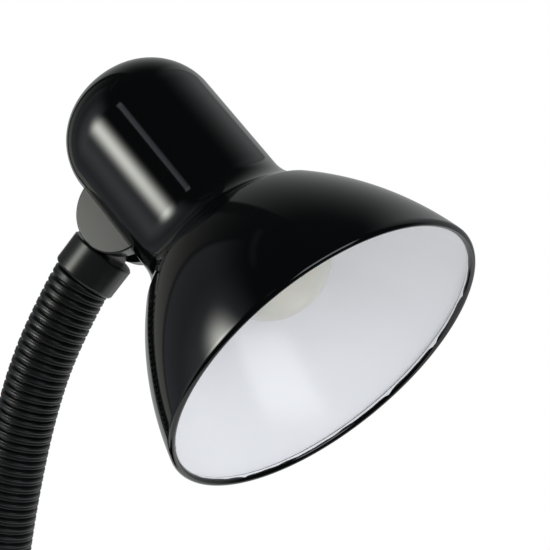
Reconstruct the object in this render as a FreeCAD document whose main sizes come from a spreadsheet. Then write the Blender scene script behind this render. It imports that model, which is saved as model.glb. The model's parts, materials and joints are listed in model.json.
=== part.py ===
import FreeCAD, Part
import math
import os
import re
import Sketcher

# Desk lamp with a flexible neck. Millimetres, +Z up, +X towards the front, where the neck leans.
# The origin is the middle of the pad under the base, on the desk.

os.makedirs("parts", exist_ok=True)
doc = FreeCAD.newDocument("desk_lamp")

# Driving dimensions
SIZES = {
    # shade, in its own frame: +Z out of the opening, the rim at zero
    "shade_rim_radius": 75,
    "shade_wall": 1,
    "lip_width": 3.5,
    "lip_depth": 3,
    "bell_depth": 61.25,
    "bell_top_radius": 44.5,
    "bell_curve_radius": 148,
    "barrel_low_radius": 34.05,
    "barrel_high_radius": 33.1,
    "barrel_above_pivot": 21.35,
    "dome_corner_radius": 28.6,
    "dome_crown_radius": 44.4,
    # knuckle between the shade and the neck
    "pivot_inset": 7.1,
    "pivot_height": 106.5,
    "drum_radius": 17.8,
    "drum_width": 28.4,
    "drum_edge_radius": 0.7,
    "seat_clearance": 0.1,
    "slot_width": 12.8,
    "lug_width": 17.6,
    "lug_half_length": 10,
    "lug_floor": 3,
    "eye_gap": 0.4,
    "lead_notch": 2.4,
    "window_clearance": 0.4,
    "pivot_bolt_radius": 2,
    "pivot_clearance": 0.05,
    "bolt_head_radius": 3.9,
    "bolt_head_height": 2.8,
    "nut_height": 3.2,
    "washer_radius": 4.2,
    "washer_thickness": 0.3,
    "plate_depth": 7.9,
    "bracket_thickness": 1.5,
    "plate_half_length": 16,
    "plate_half_width": 16.5,
    "fixing_radius": 1.5,
    "fixing_head_radius": 2.4,
    "fixing_head_height": 1.8,
    "fixing_length": 12.5,
    "fixing_room": 0.6,
    "fixing_across": 11.7,
    "fixing_along": 8.6,
    "hole_clearance": 0.1,
    # ferrule at the neck's upper end, with its tongue
    "ferrule_reach": 32.4,
    "ferrule_length": 14.3,
    "ferrule_low_radius": 13.8,
    "ferrule_high_radius": 13.9,
    "ferrule_chamfer": 0.7,
    "ferrule_round": 1.4,
    "tongue_width": 12,
    "eye_radius": 7.6,
    "socket_depth": 9,
    "socket_clearance": 0.6,
    "lead_radius": 1.5,
    "lead_clearance": 0.4,
    "lead_offset": 4.9,
    "lead_turn": 24,
    "lead_bend": 6,
    # lamp holder and bulb
    "holder_offset": 7.3,
    "holder_radius": 19.5,
    "holder_length": 36,
    "holder_floor": 5,
    "holder_drop": 10.5,
    "holder_bore": 14.6,
    "holder_skirt_length": 8,
    "shell_wall": 0.5,
    "shell_clearance": 0.3,
    "shell_length": 22,
    "nipple_radius": 5,
    "nipple_length": 7,
    "nipple_inset": 3,
    "nipple_nut_radius": 8,
    "nipple_nut_height": 3,
    "foot_start": 5,
    "riser_gap": 0.8,
    "arm_width": 14,
    "contact_width": 6,
    "contact_thickness": 0.6,
    "contact_rise": 5,
    "terminal_spread": 9,
    "bulb_radius": 26.5,
    "bulb_reach": 43,
    "bulb_wall": 0.8,
    "bulb_neck_radius": 12.3,
    "bulb_neck_insert": 5,
    "bulb_neck_blend": 26,
    "cap_radius": 13.2,
    "cap_wall": 0.5,
    "cap_length": 23,
    "insulator_height": 4,
    "tip_radius": 4.5,
    "tip_height": 1.6,
    # neck: a ribbed sleeve round short lengths of wound conduit
    "bay_length": 25.2,
    "sleeve_crest_radius": 12.5,
    "sleeve_groove_radius": 10.9,
    "sleeve_bore": 8.4,
    "sleeve_top_bore": 9.1,
    "conduit_radius": 8.05,
    "conduit_bore": 4.6,
    "link_gap": 0.25,
    "link_top_insert": 6,
    "neck_foot_x": -32,
    # collar between the neck and the base
    "collar_height": 16,
    "collar_foot_radius": 17,
    "collar_top_radius": 13.2,
    "collar_waist_height": 5,
    "stem_radius": 4.95,
    "stem_length": 8.6,
    "stem_bore": 2.6,
    "conduit_socket_depth": 9,
    "collar_nut_radius": 8,
    "collar_nut_height": 4,
    "collar_washer_radius": 10,
    "collar_washer_thickness": 1.2,
    # base
    "base_radius": 75,
    "base_height": 28,
    "base_shoulder_radius": 12,
    "base_skirt_height": 1.5,
    "base_wall": 2.2,
    "pad_inset": 5,
    "pad_thickness": 2,
    "bottom_plate_thickness": 1.2,
    "plate_gap": 0.4,
    "ballast_height": 16,
    "ballast_gap": 5.8,
    "trough_floor": 3,
    "trough_half_width": 16,
    "trough_room": 3.5,
    "post_inset": 25,
    "post_radius": 4.5,
    "post_clearance": 1,
    "post_bore": 1.7,
    "base_screw_radius": 1.6,
    "base_screw_length": 12,
    "base_screw_head_radius": 3.4,
    "base_screw_head_height": 1.6,
    "pad_hole_radius": 4.5,
    # switch
    "switch_x": 36,
    "switch_length": 19,
    "switch_width": 13,
    "switch_depth": 14,
    "bezel_border": 1.3,
    "bezel_thickness": 1.6,
    "switch_wall": 1.4,
    "rocker_gap": 0.35,
    "rocker_pivot_depth": 3,
    "rocker_high": 4.1,
    "rocker_low": 2,
    "rocker_dip": 1.1,
    "pin_radius": 1.2,
    "pin_length": 1,
    "blade_width": 4.8,
    "blade_thickness": 0.8,
    "blade_length": 5,
    "blade_spread": 5,
    # wiring in the base
    "block_length": 20,
    "block_width": 15,
    "block_height": 8,
    "block_x": -4,
    "wire_radius": 0.9,
    "wire_spread": 4.4,
    "wire_bend": 1.2,
    "wire_entry": 2.5,
    "gland_radius": 5.5,
    "gland_flange_radius": 6.3,
    "gland_flange_thickness": 1.8,
    "gland_bore": 3.4,
    "gland_height": 9.6,
    "gland_length": 7.6,
    "clamp_width": 7,
    "clamp_length": 22,
    "clamp_thickness": 2,
    "clamp_inset": 20,
    "small_screw_radius": 1.4,
    "small_screw_gap": 0.4,
    "small_screw_head_radius": 2.6,
    "small_screw_head_height": 1.7,
    # one overrun for every cut
    "overrun": 2,
}

# Angles in degrees and counts, which no change of size scales
BAY_TURNS = (0, 0.3, 0.7, 1.0, 1.4, 1.8, 2.3, 2.7, 2.3, 4.5, 8.0, 12.7)
KINK_TURN = 9.0
KINK_SHARE = 0.14
RIBS_PER_BAY = 7
# the most that each joint of the neck bends from here, and a little to spare
JOINT_REACH = (9, 9, 9, 9, 9, 9, 14, 9, 14, 14, 9, 14)
SPARE_BEND = 0.5
ROCKER_THROW = 8
HEAD_TWIST = -46.15
HEAD_TILT = 7.87
# the most that the tongue leans to either side of the slot
TONGUE_SWING = 28

# A rib is a share of the pitch: groove, rise, crest, fall
RIB_SHARES = ((0.04, 0.0), (0.2, 1.0), (0.8, 1.0), (0.96, 0.0))

# Sizes and places that follow from the driving ones
PLACES = {
    # the barrel tapers, so the knuckle is set in from its outer face at the pivot's level
    "barrel_length": "pivot_height + barrel_above_pivot - bell_depth",
    "barrel_taper": "barrel_low_radius - barrel_high_radius",
    "pivot_wall": "barrel_low_radius - barrel_taper * (pivot_height - bell_depth) / barrel_length",
    "widest_wall": "max(barrel_low_radius; barrel_high_radius)",
    "pivot_offset": "pivot_wall - pivot_inset",
    "plate_flat": "pivot_wall - plate_depth",
    "tongue_room": "(widest_wall - pivot_offset) * tan({0}) + eye_radius / cos({0})".format(TONGUE_SWING),
    # the lamp holder keeps its place beside the pivot, and the bulb its place in the holder
    "holder_mouth": "pivot_height - holder_drop",
    "riser_run": "holder_radius - holder_offset + lead_radius + riser_gap",
    "cap_end": "holder_mouth + holder_length - holder_floor - contact_rise",
    "bulb_depth": "cap_end - insulator_height - tip_height - cap_length - bulb_reach",
    # what stands in the base follows its outer radius
    "pad_radius": "base_radius - pad_inset",
    "ballast_radius": "base_radius - base_wall - ballast_gap",
    "post_circle_radius": "base_radius - post_inset",
    "trough_front": "switch_x + switch_length / 2 + trough_room",
    "clamp_x": "clamp_inset - base_radius",
    "clamp_spread": "gland_bore + clamp_thickness + small_screw_head_radius + hole_clearance",
    "small_screw_reach": "trough_floor - small_screw_gap",
}

sheet = doc.addObject("Spreadsheet::Sheet", "Sizes")
for row, (alias, value) in enumerate(SIZES.items(), start=1):
    sheet.set("A%d" % row, alias.replace("_", " "))
    sheet.set("B%d" % row, str(value))
    sheet.setAlias("B%d" % row, alias)
doc.recompute()


def written_out(text):
    """A sum with its followed places written in driving sizes."""
    names = re.findall(r"[a-z][a-z_]*", text)
    if not any(name in PLACES for name in names):
        return text
    return written_out(re.sub(
        r"[a-z][a-z_]*", lambda word: "(%s)" % PLACES[word[0]] if word[0] in PLACES else word[0], text))


def size(text):
    """The value of a sum of named sizes."""
    return float(sheet.evalExpression(written_out(text)))


def bound(text):
    """The same sum, as another object of the document reads it."""
    return re.sub(
        r"[a-z][a-z_]*", lambda word: "Sizes." + word[0] if word[0] in SIZES else word[0], written_out(text))


def plane_of(body, role):
    return [item for item in body.Origin.OriginFeatures if item.Role == role][0]


def new_sketch(body, name, role, lift):
    """A sketch on one of its body's own planes, raised along the plane's normal."""
    sketch = body.newObject("Sketcher::SketchObject", name)
    sketch.AttachmentSupport = [(plane_of(body, role), "")]
    sketch.MapMode = "FlatFace"
    sketch.setExpression("AttachmentOffset.Base.z", bound(lift))
    return sketch


def pin_point(sketch, edge, end, x_text, y_text):
    """Hold one end of an edge at a named place."""
    for text, kind, axis in ((x_text, "DistanceX", -2), (y_text, "DistanceY", -1)):
        if text == "0":
            sketch.addConstraint(Sketcher.Constraint("PointOnObject", edge, end, axis))
            continue
        index = sketch.addConstraint(Sketcher.Constraint(kind, -1, 1, edge, end, size(text)))
        sketch.setExpression("Constraints[%d]" % index, bound(text))


def arc_between(start, finish, radius):
    """The short arc of that radius between two points; a negative radius bulges to the other side."""
    chord = finish - start
    half = chord.Length / 2
    rise = math.sqrt(max(radius * radius - half * half, 0))
    side = FreeCAD.Vector(-chord.y, chord.x, 0).normalize()
    centre = start + chord * 0.5 + side * math.copysign(rise, radius)
    first = math.atan2(start.y - centre.y, start.x - centre.x)
    last = math.atan2(finish.y - centre.y, finish.x - centre.x)
    circle = Part.Circle(centre, FreeCAD.Vector(0, 0, 1), abs(radius))
    if radius > 0:
        return Part.ArcOfCircle(circle, first, last), 1, 2
    return Part.ArcOfCircle(circle, last, first), 2, 1


def draw_outline(sketch, corners):
    """A closed outline. A corner is (x, y), or (x, y, radius) where an arc leads on from it."""
    points = [FreeCAD.Vector(size(c[0]), size(c[1]), 0) for c in corners]
    ends = []
    for number, corner in enumerate(corners):
        start = points[number]
        finish = points[(number + 1) % len(points)]
        if len(corner) == 2:
            edge = sketch.addGeometry(Part.LineSegment(start, finish), False)
            ends.append((edge, 1, 2))
            continue
        arc, first, last = arc_between(start, finish, size(corner[2]))
        edge = sketch.addGeometry(arc, False)
        ends.append((edge, first, last))
        index = sketch.addConstraint(Sketcher.Constraint("Radius", edge, abs(size(corner[2]))))
        sketch.setExpression("Constraints[%d]" % index, bound("abs(%s)" % corner[2]))
    for number, (edge, first, last) in enumerate(ends):
        after = ends[(number + 1) % len(ends)]
        sketch.addConstraint(Sketcher.Constraint("Coincident", edge, last, after[0], after[1]))
        pin_point(sketch, edge, first, corners[number][0], corners[number][1])


def draw_circle(sketch, x_text, y_text, radius_text):
    centre = FreeCAD.Vector(size(x_text), size(y_text), 0)
    up = FreeCAD.Vector(0, 0, 1)
    edge = sketch.addGeometry(Part.Circle(centre, up, size(radius_text)), False)
    pin_point(sketch, edge, 3, x_text, y_text)
    index = sketch.addConstraint(Sketcher.Constraint("Radius", edge, size(radius_text)))
    sketch.setExpression("Constraints[%d]" % index, bound(radius_text))


def box_corners(x_low, x_high, y_low, y_high):
    return [(x_low, y_low), (x_high, y_low), (x_high, y_high), (x_low, y_high)]


nodes = []


def new_body(label, place=None):
    body = doc.addObject("PartDesign::Body", label)
    body.Label = label
    if place is not None:
        body.Placement = place
    nodes.append(body)
    return body


def revolve(body, name, corners):
    """Turn an outline of radius against height round the body's Z axis."""
    sketch = new_sketch(body, name + "_outline", "XZ_Plane", "0")
    draw_outline(sketch, corners)
    turned = body.newObject("PartDesign::Revolution", name)
    turned.Profile = sketch
    turned.ReferenceAxis = (sketch, ["V_Axis"])
    turned.Angle = 360
    doc.recompute()
    return turned


def pad(body, name, role, lift, draw, length, middle=False):
    """Raise a drawn figure along its plane's normal."""
    sketch = new_sketch(body, name + "_outline", role, lift)
    draw(sketch)
    raised = body.newObject("PartDesign::Pad", name)
    raised.Profile = sketch
    raised.setExpression("Length", bound(length))
    raised.Midplane = middle
    doc.recompute()
    return raised


def pocket(body, name, role, lift, draw, length, forward=False, middle=False):
    """Cut a drawn figure out of the body, and make sure that it did cut."""
    before = body.Shape.Volume
    sketch = new_sketch(body, name + "_outline", role, lift)
    draw(sketch)
    cut = body.newObject("PartDesign::Pocket", name)
    cut.Profile = sketch
    cut.setExpression("Length", bound(length))
    cut.Reversed = forward
    cut.Midplane = middle
    doc.recompute()
    if not body.Shape.Volume < before:
        raise RuntimeError(name + " cuts nothing")
    return cut


def figures(*items):
    """A drawing of circles, given as three texts, and closed outlines, given as lists of corners."""
    def draw(sketch):
        for item in items:
            if isinstance(item, list):
                draw_outline(sketch, item)
            else:
                draw_circle(sketch, *item)
    return draw


def polar(radius_text, angle):
    """The two places of a point on a circle, as sums of named sizes."""
    radians = math.radians(angle)
    return "(%s) * %.9f" % (radius_text, math.cos(radians)), "(%s) * %.9f" % (radius_text, math.sin(radians))


def feature(label, shape, place=None):
    item = doc.addObject("Part::Feature", label)
    item.Label = label
    item.Shape = shape
    if place is not None:
        item.Placement = place
    nodes.append(item)
    return item


# The neck's middle line
# It lies in the XZ plane: a row of equal bays, each an arc whose turn is given, so the line leans
# forward more and more from the collar to the ferrule. A joint sits in the middle of each bay.

def along_arc(point, lean, length, turn):
    """The point and lean after an arc that starts with this lean from the vertical."""
    if abs(turn) < 1e-9:
        step = FreeCAD.Vector(math.sin(lean), 0, math.cos(lean)) * length
        return point + step, lean
    radius = length / turn
    step = FreeCAD.Vector(math.cos(lean) - math.cos(lean + turn), 0, math.sin(lean + turn) - math.sin(lean))
    return point + step * radius, lean + turn


bay = size("bay_length")
neck_foot = FreeCAD.Vector(size("neck_foot_x"), 0, size("base_height + collar_height"))
neck_runs = []
for number, turn in enumerate(BAY_TURNS):
    if number < len(BAY_TURNS) - 1:
        neck_runs += [(bay / 2, math.radians(turn / 2))] * 2
        continue
    # the last bay ends in a short sharp bend, where the neck leaves the ferrule
    gentle = math.radians((turn - KINK_TURN) / 2)
    sharp = bay * KINK_SHARE
    neck_runs += [(bay / 2, gentle), (bay / 2 - sharp, gentle), (sharp, math.radians(KINK_TURN))]


def neck_point(distance):
    """Place and lean of the middle line at a distance from the collar."""
    point, lean = neck_foot, 0.0
    left = distance
    for length, turn in neck_runs:
        if left <= length:
            return along_arc(point, lean, left, turn * left / length)
        point, lean = along_arc(point, lean, length, turn)
        left -= length
    return point + FreeCAD.Vector(math.sin(lean), 0, math.cos(lean)) * left, lean


neck_length = bay * len(BAY_TURNS)
neck_end, neck_lean = neck_point(neck_length)
joint_points = [neck_point(bay * (number + 0.5))[0] for number in range(len(BAY_TURNS))]

# Frames of the ferrule and of the head
# The ferrule stands on the neck's end. The head turns about the pivot, which is level with the
# ferrule's tongue and crosses its axis.
neck_axis = FreeCAD.Vector(math.sin(neck_lean), 0, math.cos(neck_lean))
pivot_point = neck_end + neck_axis * size("ferrule_reach")
twist = FreeCAD.Rotation(neck_axis, HEAD_TWIST)
pivot_axis = twist.multVec(FreeCAD.Vector(0, 1, 0))


def frame_of(x_axis, y_axis, z_axis, origin):
    matrix = FreeCAD.Matrix(
        x_axis.x, y_axis.x, z_axis.x, origin.x,
        x_axis.y, y_axis.y, z_axis.y, origin.y,
        x_axis.z, y_axis.z, z_axis.z, origin.z,
        0, 0, 0, 1)
    return FreeCAD.Placement(matrix)


ferrule_frame = frame_of(pivot_axis.cross(neck_axis), pivot_axis, neck_axis, pivot_point)
outward = FreeCAD.Rotation(pivot_axis, HEAD_TILT).multVec(neck_axis * -1)
opening = outward.cross(pivot_axis)
pivot_in_head = FreeCAD.Vector(size("pivot_offset"), 0, size("-pivot_height"))
turn_only = frame_of(outward, pivot_axis, opening, FreeCAD.Vector(0, 0, 0))
head_frame = frame_of(outward, pivot_axis, opening, pivot_point - turn_only.multVec(pivot_in_head))

# Shade
# One spun steel shell: a domed barrel, a square shoulder, and a bell whose rim folds inward.
barrel_top = "(bell_depth + barrel_length)"
crown_run = "(dome_crown_radius - dome_corner_radius)"
corner_x = "(barrel_high_radius - dome_corner_radius)"
crown_drop = "sqrt(%s ^ 2 - %s ^ 2)" % (crown_run, corner_x)


def dome_join(wall):
    """Where the crown's arc meets the corner's arc, this far inside the outer face."""
    reach = "(dome_crown_radius - %s)" % wall
    across = "%s * %s / %s" % (reach, corner_x, crown_run)
    height = "%s - %s - %s * %s / %s" % (crown_drop, barrel_top, reach, crown_drop, crown_run)
    return across, height


def dome_tip(wall):
    return "%s - %s - (dome_crown_radius - %s)" % (crown_drop, barrel_top, wall)


shade = new_body("shade", head_frame)
outer_join = dome_join("0")
inner_join = dome_join("shade_wall")
revolve(shade, "shade_shell", [
    ("0", dome_tip("0"), "dome_crown_radius"),
    (outer_join[0], outer_join[1], "dome_corner_radius"),
    ("barrel_high_radius", "-%s" % barrel_top),
    ("barrel_low_radius", "-bell_depth"),
    ("bell_top_radius", "-bell_depth", "bell_curve_radius"),
    ("shade_rim_radius", "0"),
    ("shade_rim_radius - lip_width", "0"),
    ("shade_rim_radius - lip_width", "-lip_depth"),
    ("shade_rim_radius - 2 * shade_wall", "-lip_depth", "-(bell_curve_radius - shade_wall)"),
    ("bell_top_radius - shade_wall", "-bell_depth + shade_wall"),
    ("barrel_low_radius - shade_wall", "-bell_depth + shade_wall"),
    ("barrel_high_radius - shade_wall", "-%s" % barrel_top, "-(dome_corner_radius - shade_wall)"),
    (inner_join[0], inner_join[1], "-(dome_crown_radius - shade_wall)"),
    ("0", dome_tip("shade_wall")),
])

# Where the lugs, the leaning tongue and the pivot bolt reach through the shade's wall
LUG_HALF = "(lug_width / 2 + window_clearance)"
LUG_END = "(tongue_room + window_clearance)"
BOLT_HALF = "(lug_width / 2 + nut_height + 2 * window_clearance)"
BOLT_END = "(bolt_head_radius + window_clearance)"


def window_outline():
    """A cross lying on the pivot's level: tall for the lugs, wide for the bolt's head and nut."""
    quarter = [(LUG_HALF, LUG_END), (LUG_HALF, BOLT_END), (BOLT_HALF, BOLT_END)]
    corners = []
    for side, end in ((1, 1), (1, -1), (-1, -1), (-1, 1)):
        points = quarter if side * end > 0 else quarter[::-1]
        corners += [("%d * %s" % (side, y), "-pivot_height + %d * %s" % (end, z)) for y, z in points]
    return corners


def fixing_circles(radius_text):
    """The four fixings round the window."""
    return [
        ("%d * fixing_across" % side, "-pivot_height + %d * fixing_along" % end, radius_text)
        for side in (-1, 1)
        for end in (-1, 1)
    ]


FIXING_HOLE = "(fixing_radius + hole_clearance)"
pocket(shade, "knuckle_window", "YZ_Plane", "pivot_offset", figures(window_outline()),
       "barrel_low_radius", forward=True)
pocket(shade, "fixing_holes", "YZ_Plane", "pivot_offset",
       figures(*fixing_circles(FIXING_HOLE)), "barrel_low_radius", forward=True)

# Knuckle block
# A drum lying across the barrel and cut to sit on it. Two lugs go on through the wall to the pivot.
knuckle = new_body("knuckle_block", head_frame)
drum = pad(knuckle, "drum", "XZ_Plane", "0",
           figures(("pivot_offset", "-pivot_height", "drum_radius")), "drum_width", middle=True)
rounding = knuckle.newObject("PartDesign::Fillet", "drum_rounding")
rims = ["Edge%d" % (number + 1) for number, edge in enumerate(drum.Shape.Edges)
        if isinstance(edge.Curve, Part.Circle)]
rounding.Base = (drum, rims)
rounding.setExpression("Radius", bound("drum_edge_radius"))
doc.recompute()


def groove(body, name, corners):
    """Turn an outline round the body's Z axis and take it away."""
    before = body.Shape.Volume
    sketch = new_sketch(body, name + "_outline", "XZ_Plane", "0")
    draw_outline(sketch, corners)
    cut = body.newObject("PartDesign::Groove", name)
    cut.Profile = sketch
    cut.ReferenceAxis = (sketch, ["V_Axis"])
    cut.Angle = 360
    doc.recompute()
    if not body.Shape.Volume < before:
        raise RuntimeError(name + " cuts nothing")


groove(knuckle, "barrel_seat", [
    ("0", "-%s" % barrel_top),
    ("barrel_high_radius + seat_clearance", "-%s" % barrel_top),
    ("barrel_low_radius + seat_clearance", "-bell_depth"),
    ("0", "-bell_depth"),
])
SLOT_FLOOR = "(pivot_offset - eye_radius - eye_gap)"
lug_foot = "(pivot_offset - eye_radius - eye_gap - lug_floor)"
lug_box = box_corners("-lug_width / 2", "lug_width / 2",
                      "-pivot_height - lug_half_length", "-pivot_height + lug_half_length")
pad(knuckle, "lugs", "YZ_Plane", lug_foot, figures(lug_box), "widest_wall + overrun - %s" % lug_foot)
slot_box = box_corners(SLOT_FLOOR, "pivot_offset + drum_radius + overrun",
                       "-pivot_height - drum_radius - overrun", "-pivot_height + drum_radius + overrun")
pocket(knuckle, "slot", "XZ_Plane", "0", figures(slot_box), "slot_width", middle=True)
notch_box = box_corners("-lead_notch", "lead_notch",
                        "-pivot_height - lug_half_length - overrun", "-pivot_height - lead_notch")
pocket(knuckle, "lead_notch_cut", "YZ_Plane", "%s - overrun" % lug_foot, figures(notch_box),
       "lug_floor + 2 * overrun", forward=True)
pocket(knuckle, "pivot_bore", "XZ_Plane", "0",
       figures(("pivot_offset", "-pivot_height", "pivot_bolt_radius + pivot_clearance")),
       "lug_width + 2 * overrun", middle=True)
pocket(knuckle, "fixing_bores", "YZ_Plane", "plate_flat",
       figures(*fixing_circles(FIXING_HOLE)), "fixing_length + fixing_room", forward=True)

# Backing plate: it clamps the shade's wall from the inside
plate = new_body("backing_plate", head_frame)
plate_box = box_corners("-plate_half_width", "plate_half_width",
                        "-pivot_height - plate_half_length", "-pivot_height + plate_half_length")
pad(plate, "plate", "YZ_Plane", "plate_flat", figures(plate_box), "widest_wall - plate_flat")
groove(plate, "plate_back", [
    ("barrel_low_radius - shade_wall - seat_clearance", "-bell_depth"),
    ("barrel_high_radius - shade_wall - seat_clearance", "-%s" % barrel_top),
    ("2 * barrel_low_radius", "-%s" % barrel_top),
    ("2 * barrel_low_radius", "-bell_depth"),
])
pocket(plate, "plate_window", "YZ_Plane", "plate_flat - overrun", figures(window_outline()),
       "barrel_low_radius", forward=True)
pocket(plate, "plate_holes", "YZ_Plane", "plate_flat - overrun",
       figures(*fixing_circles(FIXING_HOLE)), "barrel_low_radius", forward=True)


def screw_shape(radius, length, head_radius, head_height):
    """A slotted screw along +Z, its head below zero."""
    head = Part.makeCylinder(size(head_radius), size(head_height), FreeCAD.Vector(0, 0, -size(head_height)))
    shank = Part.makeCylinder(size(radius), size(length))
    wide = 2 * size(head_radius)
    slot = size(head_height) / 3
    cutter = Part.makeBox(wide, slot, slot, FreeCAD.Vector(-wide / 2, -slot / 2, -size(head_height)))
    return head.cut(cutter).fuse(shank).removeSplitter()


def standing(shape, x, y, z, direction):
    """The same shape, its +Z turned to a direction and its zero moved to a place."""
    turn = FreeCAD.Rotation(FreeCAD.Vector(0, 0, 1), FreeCAD.Vector(*direction))
    copy = shape.copy()
    copy.Placement = FreeCAD.Placement(FreeCAD.Vector(x, y, z), turn)
    return copy


fixing = screw_shape("fixing_radius", "fixing_length", "fixing_head_radius", "fixing_head_height")
fixings = []
for side in (-1, 1):
    for end in (-1, 1):
        face = size("plate_flat") if end > 0 else size("plate_flat - bracket_thickness")
        level = -size("pivot_height") + end * size("fixing_along")
        fixings.append(standing(fixing, face, side * size("fixing_across"), level, (1, 0, 0)))
feature("knuckle_screws", Part.makeCompound(fixings), head_frame)

# Pivot bolt, its nut and the two friction washers, along the pivot axis


def hexagon(radius_text):
    """Corners of a hexagon round the pivot, with flats towards the wall."""
    return [("pivot_offset + %s" % polar(radius_text, 60 * n + 30)[0],
             "-pivot_height + %s" % polar(radius_text, 60 * n + 30)[1]) for n in range(6)]


bolt = new_body("pivot_bolt", head_frame)
pad(bolt, "bolt_shank", "XZ_Plane", "-(lug_width / 2 + nut_height)",
    figures(("pivot_offset", "-pivot_height", "pivot_bolt_radius")), "lug_width + nut_height")
pad(bolt, "bolt_head", "XZ_Plane", "lug_width / 2", figures(hexagon("bolt_head_radius")), "bolt_head_height")
PIVOT_HOLE = "(pivot_bolt_radius + pivot_clearance)"
nut = new_body("pivot_nut", head_frame)
pad(nut, "nut_body", "XZ_Plane", "-(lug_width / 2 + nut_height)",
    figures(hexagon("bolt_head_radius"), ("pivot_offset", "-pivot_height", PIVOT_HOLE)), "nut_height")
washer_gap = (size("slot_width") - size("tongue_width")) / 2 - size("washer_thickness")
rings = []
for side in (-1, 1):
    inner = side * (size("tongue_width") + washer_gap) / 2
    base = FreeCAD.Vector(size("pivot_offset"), inner, -size("pivot_height"))
    toward = FreeCAD.Vector(0, side, 0)
    ring = Part.makeCylinder(size("washer_radius"), size("washer_thickness"), base, toward)
    hole = Part.makeCylinder(size(PIVOT_HOLE), size("washer_thickness"), base, toward)
    rings.append(ring.cut(hole))
feature("friction_washers", Part.makeCompound(rings), head_frame)

# Lamp holder
# It stands a little off the shade's middle, away from the knuckle, on a bent bracket.
holder_shift = FreeCAD.Placement(FreeCAD.Vector(-size("holder_offset"), 0, 0), FreeCAD.Rotation())
holder_frame = head_frame.multiply(holder_shift)
HOLDER_BACK = "(holder_mouth + holder_length)"
holder = new_body("lamp_holder", holder_frame)
revolve(holder, "holder_shell", [
    ("holder_bore", "-holder_mouth"),
    ("holder_radius - shade_wall", "-holder_mouth"),
    ("holder_radius", "-holder_mouth - shade_wall"),
    ("holder_radius", "-holder_mouth - holder_skirt_length"),
    ("holder_radius - shade_wall", "-holder_mouth - holder_skirt_length - shade_wall"),
    ("holder_radius - shade_wall", "-%s" % HOLDER_BACK),
    ("nipple_radius + hole_clearance", "-%s" % HOLDER_BACK),
    ("nipple_radius + hole_clearance", "-%s + holder_floor" % HOLDER_BACK),
    ("holder_bore", "-%s + holder_floor" % HOLDER_BACK),
])
shell = new_body("holder_screw_shell", holder_frame)
revolve(shell, "shell_tube", [
    ("holder_bore - shell_clearance - shell_wall", "-holder_mouth - shell_wall"),
    ("holder_bore - shell_clearance", "-holder_mouth - shell_wall"),
    ("holder_bore - shell_clearance", "-holder_mouth - shell_wall - shell_length"),
    ("holder_bore - shell_clearance - shell_wall", "-holder_mouth - shell_wall - shell_length"),
])
BULB_END = "cap_end"
contact = new_body("holder_contact", holder_frame)
pad(contact, "contact_bridge", "YZ_Plane", "0", figures([
    ("-terminal_spread", "-%s + holder_floor" % HOLDER_BACK),
    ("-terminal_spread + contact_thickness", "-%s + holder_floor" % HOLDER_BACK),
    ("-terminal_spread + contact_thickness", "-%s - contact_thickness" % BULB_END),
    ("terminal_spread - contact_thickness", "-%s - contact_thickness" % BULB_END),
    ("terminal_spread - contact_thickness", "-%s + holder_floor" % HOLDER_BACK),
    ("terminal_spread", "-%s + holder_floor" % HOLDER_BACK),
    ("terminal_spread", "-%s" % BULB_END),
    ("-terminal_spread", "-%s" % BULB_END),
]), "contact_width", middle=True)
nipple = new_body("holder_nipple", holder_frame)
revolve(nipple, "nipple_tube", [
    ("stem_bore", "-%s + nipple_inset" % HOLDER_BACK),
    ("nipple_radius", "-%s + nipple_inset" % HOLDER_BACK),
    ("nipple_radius", "-%s - nipple_length" % HOLDER_BACK),
    ("stem_bore", "-%s - nipple_length" % HOLDER_BACK),
])
nipple_nut = new_body("nipple_nut", holder_frame)
nut_corners = [polar("nipple_nut_radius", 60 * n) for n in range(6)]
pad(nipple_nut, "nipple_nut_body", "XY_Plane", "-%s - bracket_thickness - nipple_nut_height" % HOLDER_BACK,
    figures(nut_corners, ("0", "0", "nipple_radius + hole_clearance")), "nipple_nut_height")

# Bracket: a foot under the two upper fixings, a riser, and an arm over the holder's back
bracket = new_body("holder_bracket", head_frame)
ARM_LOW = "-%s" % HOLDER_BACK
ARM_HIGH = "-%s - bracket_thickness" % HOLDER_BACK
FOOT_INNER = "(plate_flat - bracket_thickness)"
pad(bracket, "bracket_bend", "XZ_Plane", "0", figures([
    ("-holder_offset - arm_width / 2", ARM_HIGH),
    ("plate_flat", ARM_HIGH),
    ("plate_flat", "-pivot_height - lug_half_length - bracket_thickness"),
    (FOOT_INNER, "-pivot_height - lug_half_length - bracket_thickness"),
    (FOOT_INNER, ARM_LOW),
    ("-holder_offset - arm_width / 2", ARM_LOW),
]), "arm_width", middle=True)
pad(bracket, "bracket_foot", "YZ_Plane", FOOT_INNER, figures([
    ("-plate_half_width", "-pivot_height - plate_half_length"),
    ("plate_half_width", "-pivot_height - plate_half_length"),
    ("plate_half_width", "-pivot_height - foot_start"),
    ("lug_width / 2 + window_clearance", "-pivot_height - foot_start"),
    ("lug_width / 2 + window_clearance", "-pivot_height - lug_half_length - window_clearance"),
    ("-lug_width / 2 - window_clearance", "-pivot_height - lug_half_length - window_clearance"),
    ("-lug_width / 2 - window_clearance", "-pivot_height - foot_start"),
    ("-plate_half_width", "-pivot_height - foot_start"),
]), "bracket_thickness")
pocket(bracket, "foot_holes", "YZ_Plane", "%s - overrun" % FOOT_INNER,
       figures(*fixing_circles(FIXING_HOLE)[::2]), "bracket_thickness + 2 * overrun", forward=True)
pocket(bracket, "arm_holes", "XY_Plane", "%s - overrun" % ARM_HIGH,
       figures(("-holder_offset", "0", "nipple_radius + hole_clearance"),
               ("riser_run", "0", "lead_radius + 2 * lead_clearance")),
       "bracket_thickness + 2 * overrun", forward=True)

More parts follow.
